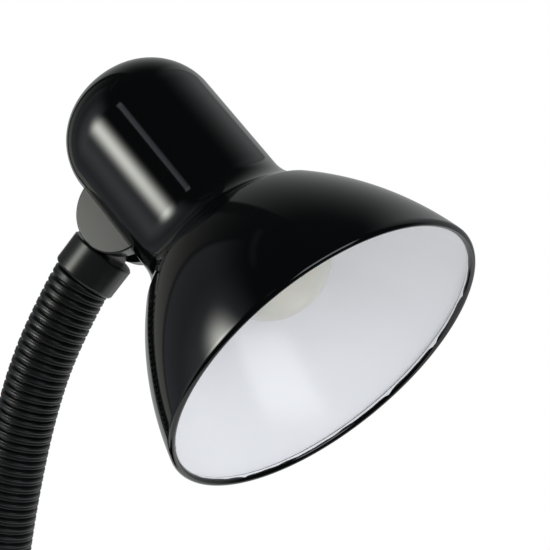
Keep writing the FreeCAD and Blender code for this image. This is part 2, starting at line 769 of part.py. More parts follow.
# Bulb
# A round frosted globe whose neck draws in to a screw cap.
BLEND_REACH = "(bulb_radius + bulb_neck_blend)"
BLEND_ACROSS = "(bulb_neck_radius + bulb_neck_blend)"
BLEND_DOWN = "sqrt(%s ^ 2 - %s ^ 2)" % (BLEND_REACH, BLEND_ACROSS)
CAP_RIM = "(%s - insulator_height - tip_height - cap_length)" % BULB_END
GLASS_END = "-(%s + bulb_neck_insert)" % CAP_RIM


def globe_join(wall):
    share = "(bulb_radius - %s) / %s" % (wall, BLEND_REACH)
    return "%s * %s" % (BLEND_ACROSS, share), "-bulb_depth - %s * %s" % (BLEND_DOWN, share)


outer_join = globe_join("0")
inner_join = globe_join("bulb_wall")
globe = new_body("bulb_globe", holder_frame)
revolve(globe, "globe_glass", [
    ("0", "-bulb_depth + bulb_radius", "-bulb_radius"),
    (outer_join[0], outer_join[1], "bulb_neck_blend"),
    ("bulb_neck_radius", "-bulb_depth - %s" % BLEND_DOWN),
    ("bulb_neck_radius", GLASS_END),
    ("0", GLASS_END),
    ("0", "%s + bulb_wall" % GLASS_END),
    ("bulb_neck_radius - bulb_wall", "%s + bulb_wall" % GLASS_END),
    ("bulb_neck_radius - bulb_wall", "-bulb_depth - %s" % BLEND_DOWN, "-(bulb_neck_blend + bulb_wall)"),
    (inner_join[0], inner_join[1], "bulb_radius - bulb_wall"),
    ("0", "-bulb_depth + bulb_radius - bulb_wall"),
])
cap = new_body("bulb_cap", holder_frame)
revolve(cap, "cap_shell", [
    ("cap_radius - cap_wall", "-%s" % CAP_RIM),
    ("cap_radius", "-%s" % CAP_RIM),
    ("cap_radius", "-%s - cap_length" % CAP_RIM),
    ("cap_radius - cap_wall", "-%s - cap_length" % CAP_RIM),
])
insulator = new_body("bulb_insulator", holder_frame)
revolve(insulator, "insulator_cone", [
    ("0", "-%s - cap_length + cap_wall" % CAP_RIM),
    ("cap_radius - cap_wall", "-%s - cap_length + cap_wall" % CAP_RIM),
    ("cap_radius - cap_wall", "-%s - cap_length" % CAP_RIM),
    ("tip_radius", "-%s - cap_length - insulator_height" % CAP_RIM),
    ("0", "-%s - cap_length - insulator_height" % CAP_RIM),
])
tip = new_body("bulb_contact", holder_frame)
revolve(tip, "tip_button", [
    ("0", "-%s + tip_height" % BULB_END),
    ("tip_radius", "-%s + tip_height" % BULB_END),
    ("tip_radius - tip_height / 2", "-%s" % BULB_END),
    ("0", "-%s" % BULB_END),
])

# Ferrule, with the tongue that fills the knuckle's slot
FERRULE_TOP = "(ferrule_reach - ferrule_length)"
SOCKET = "(conduit_radius + socket_clearance)"
ferrule = new_body("neck_ferrule", ferrule_frame)
revolve(ferrule, "ferrule_body", [
    (SOCKET, "-ferrule_reach"),
    ("ferrule_low_radius - ferrule_round", "-ferrule_reach", "ferrule_round"),
    ("ferrule_low_radius", "-ferrule_reach + ferrule_round"),
    ("ferrule_high_radius", "-%s - ferrule_chamfer" % FERRULE_TOP),
    ("ferrule_high_radius - ferrule_chamfer", "-%s" % FERRULE_TOP),
    ("0", "-%s" % FERRULE_TOP),
    ("0", "-ferrule_reach + socket_depth"),
    (SOCKET, "-ferrule_reach + socket_depth"),
])
pad(ferrule, "tongue", "XZ_Plane", "0", figures([
    ("-eye_radius", "-%s - overrun" % FERRULE_TOP),
    ("eye_radius", "-%s - overrun" % FERRULE_TOP),
    ("eye_radius", "0", "eye_radius"),
    ("0", "eye_radius", "eye_radius"),
    ("-eye_radius", "0"),
]), "tongue_width", middle=True)
pocket(ferrule, "eye_bore", "XZ_Plane", "0", figures(("0", "0", "pivot_bolt_radius + pivot_clearance")),
       "tongue_width + 2 * overrun", middle=True)
# The lead leaves the socket's middle on a slant and passes beside the pivot
lead_slant = math.atan2(size("lead_offset"), size("lead_turn"))
slant = new_sketch(ferrule, "lead_bore_outline", "XY_Plane", "0")
slant.AttachmentOffset = FreeCAD.Placement(
    FreeCAD.Vector(0, 0, 0), FreeCAD.Rotation(FreeCAD.Vector(0, 1, 0), -math.degrees(lead_slant)))
slant.setExpression("AttachmentOffset.Base.z", bound("-lead_turn"))
draw_circle(slant, "0", "0", "lead_radius + lead_clearance")
before = ferrule.Shape.Volume
lead_bore = ferrule.newObject("PartDesign::Pocket", "lead_bore")
lead_bore.Profile = slant
lead_bore.Reversed = True
lead_bore.setExpression("Length", bound("lead_turn + eye_radius + overrun"))
doc.recompute()
if not ferrule.Shape.Volume < before:
    raise RuntimeError("lead_bore cuts nothing")

# Neck conduit
# Thirteen short tubes joined end to end. Their ends are coned, so that each joint has room to bend.
link_ends = [neck_foot + FreeCAD.Vector(0, 0, -size("conduit_socket_depth"))] + joint_points
link_ends.append(neck_end + neck_axis * size("link_top_insert"))
last_run = neck_end - joint_points[-1]
last_share = last_run.Length / bay
last_cosine = math.cos(last_run.getAngle(neck_axis))
LINK_RUNS = ["(conduit_socket_depth + bay_length / 2)"]
for low_joint, high_joint in zip(joint_points, joint_points[1:]):
    LINK_RUNS.append("(bay_length * %.9f)" % ((high_joint - low_joint).Length / bay))
LINK_RUNS.append(
    "sqrt((bay_length * %.9f) ^ 2 + link_top_insert ^ 2 + 2 * bay_length * link_top_insert * %.9f)"
    % (last_share, last_share * last_cosine))


def end_cone(joint):
    """Slope of the two faces that meet at a joint: half its bend at rest and half its reach."""
    if not 0 <= joint < len(joint_points):
        return 0.0
    below = joint_points[joint] - link_ends[joint]
    above = link_ends[joint + 2] - joint_points[joint]
    resting = math.degrees(below.getAngle(above))
    return math.tan(math.radians((resting + JOINT_REACH[joint]) / 2 + SPARE_BEND))


for number, run_text in enumerate(LINK_RUNS):
    start = link_ends[number]
    along = (link_ends[number + 1] - start).normalize()
    low_cone = end_cone(number - 1)
    high_cone = end_cone(number)
    across = FreeCAD.Vector(0, 1, 0).cross(along)
    link = new_body("neck_link_%02d" % number, frame_of(across, FreeCAD.Vector(0, 1, 0), along, start))
    corners = []
    for radius, is_low in (("conduit_bore", True), ("conduit_radius", True),
                           ("conduit_radius", False), ("conduit_bore", False)):
        cone = "link_gap + %s * %.9f" % (radius, low_cone if is_low else high_cone)
        if is_low:
            level = "0" if number == 0 else cone
        else:
            level = run_text if number == len(BAY_TURNS) else "%s - (%s)" % (run_text, cone)
        corners.append((radius, level))
    revolve(link, "tube_%02d" % number, corners)

# Neck sleeve
# One ribbed length per bay: a ruled skin through the circles of every rib, bored through.
crest = size("sleeve_crest_radius")
groove_radius = size("sleeve_groove_radius")
side_axis = FreeCAD.Vector(0, 1, 0)


def ring_at(distance, radius):
    """A circle round the middle line, with its start always on the same side."""
    point, lean = neck_point(distance)
    forward = FreeCAD.Vector(math.sin(lean), 0, math.cos(lean))
    circle = Part.Circle()
    circle.Radius = radius
    edge = circle.toShape()
    edge.Placement = frame_of(side_axis.cross(forward), side_axis, forward, point)
    return Part.Wire([edge])


pitch = bay / RIBS_PER_BAY
for number in range(len(BAY_TURNS)):
    start = number * bay
    rings = [ring_at(start, groove_radius)]
    for rib in range(RIBS_PER_BAY):
        for place_share, height_share in RIB_SHARES:
            radius = groove_radius + (crest - groove_radius) * height_share
            rings.append(ring_at(start + (rib + place_share) * pitch, radius))
    rings.append(ring_at(start + bay, groove_radius))
    skin = Part.makeLoft(rings, True, True)
    # the last bay opens wider, because the conduit runs straight through its sharp bend
    end_bore = size("sleeve_top_bore" if number == len(BAY_TURNS) - 1 else "sleeve_bore")
    bore_radii = [size("sleeve_bore")] * 2 + [end_bore] * 3
    bores = [ring_at(start + bay * step / 4, radius) for step, radius in enumerate(bore_radii)]
    feature("neck_sleeve_%02d" % (number + 1), skin.cut(Part.makeLoft(bores, True, True)))

# Collar that carries the neck on the base
collar_place = FreeCAD.Vector(size("neck_foot_x"), 0, size("base_height"))
collar_frame = FreeCAD.Placement(collar_place, FreeCAD.Rotation())
collar = new_body("neck_collar", collar_frame)
revolve(collar, "collar_body", [
    ("stem_bore", "-stem_length"),
    ("stem_radius", "-stem_length"),
    ("stem_radius", "0"),
    ("collar_foot_radius", "0"),
    ("collar_foot_radius", "collar_waist_height"),
    ("collar_top_radius", "collar_waist_height + ferrule_chamfer"),
    ("collar_top_radius", "collar_height - ferrule_chamfer"),
    ("collar_top_radius - ferrule_chamfer", "collar_height"),
    (SOCKET, "collar_height"),
    (SOCKET, "collar_height - conduit_socket_depth"),
    ("stem_bore", "collar_height - conduit_socket_depth"),
])
collar_washer = new_body("collar_washer", collar_frame)
pad(collar_washer, "washer_disc", "XY_Plane", "-base_wall - collar_washer_thickness",
    figures(("0", "0", "collar_washer_radius"), ("0", "0", "stem_radius + hole_clearance")),
    "collar_washer_thickness")
collar_nut = new_body("collar_nut", collar_frame)
collar_corners = [polar("collar_nut_radius", 60 * n) for n in range(6)]
pad(collar_nut, "collar_nut_body", "XY_Plane", "-base_wall - collar_washer_thickness - collar_nut_height",
    figures(collar_corners, ("0", "0", "stem_radius + hole_clearance")), "collar_nut_height")

# Base cover
PLATE_TOP = "(pad_thickness + bottom_plate_thickness)"
POST_FOOT = "(%s + hole_clearance)" % PLATE_TOP
cover = new_body("base_cover")
revolve(cover, "cover_shell", [
    ("0", "base_height - base_wall"),
    ("base_radius - base_shoulder_radius", "base_height - base_wall", "-(base_shoulder_radius - base_wall)"),
    ("base_radius - base_wall", "base_height - base_shoulder_radius"),
    ("base_radius - base_wall", "base_skirt_height"),
    ("base_radius", "base_skirt_height"),
    ("base_radius", "base_height - base_shoulder_radius", "base_shoulder_radius"),
    ("base_radius - base_shoulder_radius", "base_height"),
    ("0", "base_height"),
])


def post_circles(radius_text):
    """The four posts, one in each quarter."""
    places = [polar("post_circle_radius", 90 * n + 45) for n in range(4)]
    return [(x, y, radius_text) for x, y in places]


pad(cover, "posts", "XY_Plane", POST_FOOT, figures(*post_circles("post_radius")),
    "base_height - base_wall / 2 - %s" % POST_FOOT)
pocket(cover, "post_bores", "XY_Plane", POST_FOOT, figures(*post_circles("post_bore")),
       "base_screw_length", forward=True)
pocket(cover, "collar_hole", "XY_Plane", "base_height + overrun",
       figures(("neck_foot_x", "0", "stem_radius + hole_clearance")), "base_wall + 2 * overrun")
SWITCH_HALF = "(switch_length / 2 + hole_clearance)"
switch_hole = box_corners("switch_x - %s" % SWITCH_HALF, "switch_x + %s" % SWITCH_HALF,
                          "-switch_width / 2 - hole_clearance", "switch_width / 2 + hole_clearance")
pocket(cover, "switch_hole", "XY_Plane", "base_height + overrun",
       figures(switch_hole), "base_wall + 2 * overrun")
pocket(cover, "gland_hole", "YZ_Plane", "-base_radius - overrun",
       figures(("0", "gland_height", "gland_radius + hole_clearance")),
       "base_wall + 2 * overrun", forward=True)

# Ballast, with a trough for the wiring
ballast = new_body("ballast")
pad(ballast, "ballast_disc", "XY_Plane", PLATE_TOP, figures(("0", "0", "ballast_radius")), "ballast_height")
trough = box_corners("-ballast_radius - overrun", "trough_front", "-trough_half_width", "trough_half_width")
pocket(ballast, "trough", "XY_Plane", "%s + trough_floor" % PLATE_TOP,
       figures(trough), "ballast_height", forward=True)
pocket(ballast, "post_holes", "XY_Plane", "%s - overrun" % PLATE_TOP,
       figures(*post_circles("post_radius + post_clearance")), "ballast_height + 2 * overrun", forward=True)
SMALL_HOLES = [
    ("clamp_x", "-clamp_spread", "small_screw_radius + hole_clearance"),
    ("clamp_x", "clamp_spread", "small_screw_radius + hole_clearance"),
    ("block_x", "0", "small_screw_radius + hole_clearance"),
]
pocket(ballast, "small_holes", "XY_Plane", "%s - overrun" % PLATE_TOP, figures(*SMALL_HOLES),
       "trough_floor + 2 * overrun", forward=True)

# Bottom plate, its screws and the pad the lamp stands on
bottom = new_body("bottom_plate")
screw_holes = post_circles("base_screw_radius + hole_clearance")
pad(bottom, "bottom_disc", "XY_Plane", "pad_thickness",
    figures(("0", "0", "base_radius - base_wall - plate_gap"), *screw_holes), "bottom_plate_thickness")
foot_pad = new_body("foot_pad")
pad(foot_pad, "pad_disc", "XY_Plane", "0",
    figures(("0", "0", "pad_radius"), *post_circles("pad_hole_radius")), "pad_thickness")
base_screw = screw_shape("base_screw_radius", "base_screw_length",
                         "base_screw_head_radius", "base_screw_head_height")
base_screws = []
for x, y, radius in post_circles("post_bore"):
    base_screws.append(standing(base_screw, size(x), size(y), size("pad_thickness"), (0, 0, 1)))
feature("bottom_screws", Part.makeCompound(base_screws))

# Rocker switch
switch_frame = FreeCAD.Placement(FreeCAD.Vector(size("switch_x"), 0, size("base_height")), FreeCAD.Rotation())
PIVOT_LEVEL = "(bezel_thickness - rocker_pivot_depth)"
switch = new_body("switch_body", switch_frame)
case_box = box_corners("-switch_length / 2", "switch_length / 2", "-switch_width / 2", "switch_width / 2")
bezel_box = box_corners("-switch_length / 2 - bezel_border", "switch_length / 2 + bezel_border",
                        "-switch_width / 2 - bezel_border", "switch_width / 2 + bezel_border")
well_box = box_corners("-switch_length / 2 + switch_wall", "switch_length / 2 - switch_wall",
                       "-switch_width / 2 + switch_wall", "switch_width / 2 - switch_wall")
pad(switch, "case", "XY_Plane", "-switch_depth", figures(case_box), "switch_depth")
pad(switch, "bezel", "XY_Plane", "0", figures(bezel_box), "bezel_thickness")
pocket(switch, "case_well", "XY_Plane", "bezel_thickness", figures(well_box),
       "bezel_thickness + switch_depth - switch_wall")
pocket(switch, "pin_bores", "XZ_Plane", "0", figures(("0", PIVOT_LEVEL, "pin_radius + pivot_clearance")),
       "switch_width - 2 * switch_wall + 2 * pin_length", middle=True)
rocker_turn = FreeCAD.Rotation(FreeCAD.Vector(0, 1, 0), -ROCKER_THROW)
rocker_point = switch_frame.multVec(FreeCAD.Vector(0, 0, size(PIVOT_LEVEL)))
rocker = new_body("switch_rocker", FreeCAD.Placement(rocker_point, rocker_turn))
ROCKER_REACH = "(switch_length / 2 - switch_wall - rocker_gap)"
high_x = "sqrt(%s ^ 2 - rocker_high ^ 2)" % ROCKER_REACH
low_x = "sqrt(%s ^ 2 - rocker_low ^ 2)" % ROCKER_REACH
pad(rocker, "paddle", "XZ_Plane", "0", figures([
    ("-(%s)" % low_x, "-rocker_low"),
    ("0", "-rocker_low - rocker_dip"),
    (low_x, "-rocker_low", ROCKER_REACH),
    (high_x, "rocker_high"),
    ("0", "rocker_high - rocker_dip"),
    ("-(%s)" % high_x, "rocker_high", ROCKER_REACH),
]), "switch_width - 2 * switch_wall - 2 * rocker_gap", middle=True)
pad(rocker, "pins", "XZ_Plane", "0", figures(("0", "0", "pin_radius")),
    "switch_width - 2 * switch_wall + 2 * pin_length - 2 * pivot_clearance", middle=True)
blades = new_body("switch_blades", switch_frame)
blade_boxes = []
for side in (-1, 1):
    middle = "%d * blade_spread" % side
    blade_boxes.append(box_corners(middle + " - blade_thickness / 2", middle + " + blade_thickness / 2",
                                   "-blade_width / 2", "blade_width / 2"))
pad(blades, "blade_pair", "XY_Plane", "-switch_depth - blade_length", figures(*blade_boxes), "blade_length")

# Terminal block in the trough, its screws, the cord clamp and the inlet gland
TROUGH_LEVEL = "(%s + trough_floor)" % PLATE_TOP
BLADE_LEVEL = "(base_height - switch_depth - blade_length / 2)"
WIRE_LEVEL = "(%s + block_height / 2)" % TROUGH_LEVEL
block = new_body("terminal_block")
block_box = box_corners("block_x - block_length / 2", "block_x + block_length / 2",
                        "-block_width / 2", "block_width / 2")
pad(block, "block_body", "XY_Plane", TROUGH_LEVEL, figures(block_box), "block_height")
pocket(block, "block_screw_hole", "XY_Plane", "%s + block_height" % TROUGH_LEVEL,
       figures(("block_x", "0", "small_screw_radius + hole_clearance")), "block_height")
pocket(block, "block_wire_holes", "YZ_Plane", "block_x + block_length / 2",
       figures(("-wire_spread", WIRE_LEVEL, "wire_radius + lead_clearance"),
               ("wire_spread", WIRE_LEVEL, "wire_radius + lead_clearance")), "wire_entry + overrun")
pocket(block, "block_lead_hole", "YZ_Plane", "block_x - block_length / 2",
       figures(("0", WIRE_LEVEL, "lead_radius + lead_clearance")), "wire_entry + overrun", forward=True)
clamp = new_body("cord_clamp")
ARCH = "(gland_bore + clamp_thickness)"
pad(clamp, "clamp_arch", "YZ_Plane", "clamp_x - clamp_width / 2", figures([
    ("-clamp_length / 2", TROUGH_LEVEL),
    ("-gland_bore", TROUGH_LEVEL),
    ("-gland_bore", "gland_height", "-gland_bore"),
    ("0", "gland_height + gland_bore", "-gland_bore"),
    ("gland_bore", "gland_height"),
    ("gland_bore", TROUGH_LEVEL),
    ("clamp_length / 2", TROUGH_LEVEL),
    ("clamp_length / 2", "%s + clamp_thickness" % TROUGH_LEVEL),
    (ARCH, "%s + clamp_thickness" % TROUGH_LEVEL),
    (ARCH, "gland_height", ARCH),
    ("0", "gland_height + %s" % ARCH, ARCH),
    ("-%s" % ARCH, "gland_height"),
    ("-%s" % ARCH, "%s + clamp_thickness" % TROUGH_LEVEL),
    ("-clamp_length / 2", "%s + clamp_thickness" % TROUGH_LEVEL),
]), "clamp_width")
pocket(clamp, "clamp_holes", "XY_Plane", "%s + clamp_thickness + overrun" % TROUGH_LEVEL,
       figures(*SMALL_HOLES[:2]), "clamp_thickness + 2 * overrun")
small_screw = screw_shape("small_screw_radius", "clamp_thickness + small_screw_reach",
                          "small_screw_head_radius", "small_screw_head_height")
block_screw = screw_shape("small_screw_radius", "block_height + small_screw_reach",
                          "small_screw_head_radius", "small_screw_head_height")
clamp_level = size("%s + clamp_thickness" % TROUGH_LEVEL)
small_screws = [standing(small_screw, size("clamp_x"), side * size("clamp_spread"), clamp_level, (0, 0, -1))
                for side in (-1, 1)]
block_top = size("%s + block_height" % TROUGH_LEVEL)
small_screws.append(standing(block_screw, size("block_x"), 0, block_top, (0, 0, -1)))
feature("wiring_screws", Part.makeCompound(small_screws))
gland_turn = FreeCAD.Rotation(FreeCAD.Vector(0, 0, 1), FreeCAD.Vector(1, 0, 0))
gland_frame = FreeCAD.Placement(FreeCAD.Vector(-size("base_radius"), 0, size("gland_height")), gland_turn)
gland = new_body("cord_gland", gland_frame)
revolve(gland, "gland_bush", [
    ("gland_bore", "-gland_flange_thickness"),
    ("gland_flange_radius - ferrule_chamfer", "-gland_flange_thickness"),
    ("gland_flange_radius", "-gland_flange_thickness + ferrule_chamfer"),
    ("gland_flange_radius", "0"),
    ("gland_radius", "0"),
    ("gland_radius", "gland_length"),
    ("gland_bore", "gland_length"),
])


def swept(points, radius, bend, label, frame=None):
    """A round wire: straight runs between points, joined by tangent arcs of one radius."""
    feature(label, tube_along(rounded_path(points, bend), size(radius)), frame)


def rounded_path(points, bend):
    """Edges of a path through points, its corners rounded to a radius."""
    edges = []
    here = points[0]
    for number in range(1, len(points) - 1):
        corner = points[number]
        before = (corner - points[number - 1]).normalize()
        after = (points[number + 1] - corner).normalize()
        turn = before.getAngle(after)
        cut = bend * math.tan(turn / 2)
        first = corner - before * cut
        last = corner + after * cut
        middle = corner + (after - before).normalize() * (bend / math.cos(turn / 2) - bend)
        edges.append(Part.makeLine(here, first))
        edges.append(Part.Arc(first, middle, last).toShape())
        here = last
    edges.append(Part.makeLine(here, points[-1]))
    return edges


def tube_along(edges, radius):
    path = Part.Wire(edges)
    start = edges[0].valueAt(edges[0].FirstParameter)
    heading = edges[0].tangentAt(edges[0].FirstParameter)
    circle = Part.Wire([Part.Circle(start, heading, radius).toShape()])
    return path.makePipeShell([circle], True, False)


# Lead from the terminal block up through the neck and the knuckle to the lamp holder
wire_level = size(WIRE_LEVEL)
lead_start = FreeCAD.Vector(size("block_x - block_length / 2 + wire_entry"), 0, wire_level)
stem_low = FreeCAD.Vector(neck_foot.x, 0, wire_level)
lead_edges = rounded_path([lead_start, stem_low, neck_foot], size("lead_bend"))
point, lean = neck_foot, 0.0
for length, turn in neck_runs:
    after, new_lean = along_arc(point, lean, length, turn)
    if abs(turn) < 1e-9:
        lead_edges.append(Part.makeLine(point, after))
    else:
        middle = along_arc(point, lean, length / 2, turn / 2)[0]
        lead_edges.append(Part.Arc(point, middle, after).toShape())
    point, lean = after, new_lean


def in_ferrule(x, z):
    return ferrule_frame.multVec(FreeCAD.Vector(x, 0, z))


def in_head(x, z):
    return head_frame.multVec(FreeCAD.Vector(x, 0, z))


# The slanted run through the tongue meets the run beside the holder where their lines cross
slant_low = in_ferrule(0, -size("lead_turn"))
slant_high = in_ferrule(-size("lead_offset"), 0)
slant_way = (slant_high - slant_low).normalize()
back = head_frame.inverse()
low_in_head = back.multVec(slant_low)
way_in_head = back.Rotation.multVec(slant_way)
reach = (size("riser_run") - low_in_head.x) / way_in_head.x
turn_point = slant_low + slant_way * reach
riser_top = in_head(size("riser_run"), -size("%s + nipple_length" % HOLDER_BACK))
half_loop = (size("riser_run") + size("holder_offset")) / 2
loop_top = in_head(size("riser_run") - half_loop, -size("%s + nipple_length" % HOLDER_BACK) - half_loop)
loop_end = in_head(-size("holder_offset"), -size("%s + nipple_length" % HOLDER_BACK))
lead_end = in_head(-size("holder_offset"), -size("%s - nipple_inset" % HOLDER_BACK))
lead_edges += rounded_path([neck_end, slant_low, turn_point, riser_top], size("lead_bend"))
lead_edges.append(Part.Arc(riser_top, loop_top, loop_end).toShape())
lead_edges.append(Part.makeLine(loop_end, lead_end))
feature("lamp_lead", tube_along(lead_edges, size("lead_radius")))

# Two wires from the block to the switch
wires = []
blade_level = size(BLADE_LEVEL)
for side in (-1, 1):
    blade_x = size("switch_x") - side * size("blade_spread")
    across = side * size("wire_spread")
    route = [
        FreeCAD.Vector(size("block_x + block_length / 2 - wire_entry"), across, wire_level),
        FreeCAD.Vector(size("block_x + block_length / 2 + wire_entry"), across, wire_level),
        FreeCAD.Vector(blade_x - size("2 * wire_entry"), across, blade_level),
        FreeCAD.Vector(blade_x, across, blade_level),
        FreeCAD.Vector(blade_x, side * size("blade_width") / 2, blade_level),
    ]
    wires.append(tube_along(rounded_path(route, size("wire_bend")), size("wire_radius")))
feature("base_leads", Part.makeCompound(wires))

# Check everything, then write one file for each piece
doc.recompute()
for item in doc.Objects:
    if "Invalid" in item.State or "Error" in item.State:
        raise RuntimeError("%s is not sound: %s" % (item.Label, item.State))
for node in nodes:
    if node.Shape.isNull() or not node.Shape.isValid():
        raise RuntimeError("%s has no sound shape" % node.Label)
for node in nodes:
    node.Shape.exportStep("parts/%s.step" % node.Label)
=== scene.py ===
# %% [markdown]
# A desk lamp with a flexible neck: a gloss black shade, white inside, on a ribbed sleeve that
# covers a conduit of short links. The imported solids are loaded first and stay where they are.

# %% The frame
import bpy
import bmesh
import json
import math
from mathutils import Matrix, Quaternion, Vector


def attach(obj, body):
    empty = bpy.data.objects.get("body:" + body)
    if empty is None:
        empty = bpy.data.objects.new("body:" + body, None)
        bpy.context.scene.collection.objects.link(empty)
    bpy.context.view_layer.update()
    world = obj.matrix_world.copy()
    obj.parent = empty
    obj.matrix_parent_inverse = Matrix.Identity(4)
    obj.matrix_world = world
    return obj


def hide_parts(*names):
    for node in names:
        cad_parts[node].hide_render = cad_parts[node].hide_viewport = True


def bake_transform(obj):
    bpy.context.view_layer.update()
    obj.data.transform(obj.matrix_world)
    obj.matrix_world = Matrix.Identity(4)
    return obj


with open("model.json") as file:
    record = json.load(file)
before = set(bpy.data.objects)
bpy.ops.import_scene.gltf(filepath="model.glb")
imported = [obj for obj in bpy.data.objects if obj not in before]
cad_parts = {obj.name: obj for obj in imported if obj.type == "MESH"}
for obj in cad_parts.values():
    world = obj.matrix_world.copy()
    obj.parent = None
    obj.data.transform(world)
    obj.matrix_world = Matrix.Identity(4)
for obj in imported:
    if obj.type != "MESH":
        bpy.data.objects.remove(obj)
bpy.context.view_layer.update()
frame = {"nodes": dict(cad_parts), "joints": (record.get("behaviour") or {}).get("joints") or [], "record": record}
MM = 0.001
joints = {joint["name"]: joint for joint in frame["joints"]}

# %% [markdown]
# Everything that is turned needs the two frames of the lamp. The ferrule stands on the neck's end,
# which leans forward, and the head turns about a pivot that crosses the ferrule's axis. Both frames
# follow from three angles, so they are worked out here once and used by every piece of the head.

# %% Frames of the ferrule and the head
NECK_LEAN = math.radians(37.7)
HEAD_TWIST = math.radians(-46.15)
HEAD_TILT = math.radians(7.87)
PIVOT_OFFSET, PIVOT_HEIGHT, HOLDER_OFFSET = 26.3046, 106.5, 7.3


def frame_of(x_axis, y_axis, z_axis, origin):
    """The matrix that carries millimetres of a local frame to metres of the lamp."""
    turn = Matrix((x_axis, y_axis, z_axis)).transposed()
    return Matrix.Translation(origin) @ turn.to_4x4() @ Matrix.Scale(MM, 4)


pivot = Vector(joints["head_tilt"]["pos_m"])
neck_axis = Vector((math.sin(NECK_LEAN), 0, math.cos(NECK_LEAN)))
pivot_axis = Quaternion(neck_axis, HEAD_TWIST) @ Vector((0, 1, 0))
ferrule_frame = frame_of(pivot_axis.cross(neck_axis), pivot_axis, neck_axis, pivot)
outward = Quaternion(pivot_axis, HEAD_TILT) @ -neck_axis
opening = outward.cross(pivot_axis)
head_frame = frame_of(outward, pivot_axis, opening, pivot)
head_frame = head_frame @ Matrix.Translation((-PIVOT_OFFSET, 0, PIVOT_HEIGHT))
holder_frame = head_frame @ Matrix.Translation((-HOLDER_OFFSET, 0, 0))
print("rim centre, mm:", [round(value / MM, 1) for value in head_frame.translation])

# %% [markdown]
# A material is a small tree of nodes, so one function adds a node with its settings and its inputs,
# and short ones add the nodes for sums, ramps and noise. Another turns the usual hex colours of a
# screen into the linear values that light is calculated with.

# %% Helpers for objects, nodes and colours


def new_object(name, data):
    """An object in the scene that shows a mesh, a curve, a light or a camera."""
    item = bpy.data.objects.new(name, data)
    bpy.context.scene.collection.objects.link(item)
    return item


def linear(text):
    """A hex colour as linear red, green and blue, with an alpha of one."""
    channels = [int(text[n:n + 2], 16) / 255 for n in (0, 2, 4)]
    return [c / 12.92 if c <= 0.04045 else ((c + 0.055) / 1.055) ** 2.4 for c in channels] + [1.0]


def add(tree, kind, inputs=None, **settings):
    """A node with its settings; an input is a value, or an output socket to link from."""
    node = tree.nodes.new(kind)
    for name, value in settings.items():
        setattr(node, name, value)
    for name, value in (inputs or {}).items():
        if isinstance(value, bpy.types.NodeSocket):
            tree.links.new(value, node.inputs[name])
        else:
            node.inputs[name].default_value = value
    return node


def calc(tree, operation, *values):
    """The result of one sum on numbers."""
    return add(tree, "ShaderNodeMath", dict(enumerate(values)), operation=operation).outputs[0]


def vector_calc(tree, operation, *values, scale=None):
    """The result of one sum on vectors."""
    inputs = dict(enumerate(values))
    if scale is not None:
        inputs["Scale"] = scale
    node = add(tree, "ShaderNodeVectorMath", inputs, operation=operation)
    return node.outputs["Value" if operation in ("DOT_PRODUCT", "LENGTH") else "Vector"]


def ramp(tree, value, start, end, first=0.0, last=1.0, kind="LINEAR"):
    """A number that goes from first to last while a value goes from start to end."""
    inputs = {"Value": value, "From Min": start, "From Max": end, "To Min": first, "To Max": last}
    return add(tree, "ShaderNodeMapRange", inputs, interpolation_type=kind).outputs[0]


def noise(tree, scale, detail):
    """Noise that stays with the object, with this many swells to a metre."""
    place = add(tree, "ShaderNodeTexCoord").outputs["Object"]
    return add(tree, "ShaderNodeTexNoise", {"Vector": place, "Scale": scale, "Detail": detail}).outputs["Fac"]


def new_material(name):
    """An empty material, its tree and its output node."""
    material = bpy.data.materials.new(name)
    material.use_nodes = True
    tree = material.node_tree
    tree.nodes.clear()
    return material, tree, tree.nodes.new("ShaderNodeOutputMaterial")


def finish_with(tree, output, shader):
    """Let a material show this shader."""
    tree.links.new(shader.outputs[0], output.inputs["Surface"])


print("the screen's middle grey in linear light:", round(linear("808080")[0], 3))

# %% [markdown]
# Stove enamel is paint that has flowed out and hardened in an oven. It is very smooth, but not flat:
# a faint orange peel about 1.5 mm across softens what it mirrors. The black outside is high gloss.
# The white inside is a satin coat that spreads the bulb's light.

# %% Enamel, gloss black and satin white
CLOUDS = 60.0


def coated(name, colour, roughness, peel_mm, peel_depth, speck):
    """A smooth coat whose colour and height vary a little."""
    material, tree, output = new_material(name)
    peel = noise(tree, 1 / (peel_mm * MM), 2.0)
    bump = add(tree, "ShaderNodeBump", {"Height": peel, "Distance": peel_depth * MM})
    tint = ramp(tree, noise(tree, CLOUDS, 3.0), 0.0, 1.0, 1 - speck, 1 + speck)
    shade = vector_calc(tree, "SCALE", linear(colour)[:3], scale=tint)
    shader = add(tree, "ShaderNodeBsdfPrincipled", {
        "Base Color": shade, "Roughness": roughness, "IOR": 1.5, "Normal": bump.outputs[0]})
    finish_with(tree, output, shader)
    return material


gloss_black = coated("stove enamel gloss black", "050506", 0.06, 1.5, 0.002, 0.1)
satin_white = coated("stove enamel satin white", "eeeff1", 0.2, 0.8, 0.004, 0.01)
print("enamels:", gloss_black.name, "and", satin_white.name)

# %% [markdown]
# Moulded nylon takes the fine spark finish of its tool, grains about half a millimetre across,
# which turns black plastic a soft dark grey wherever light skims it.

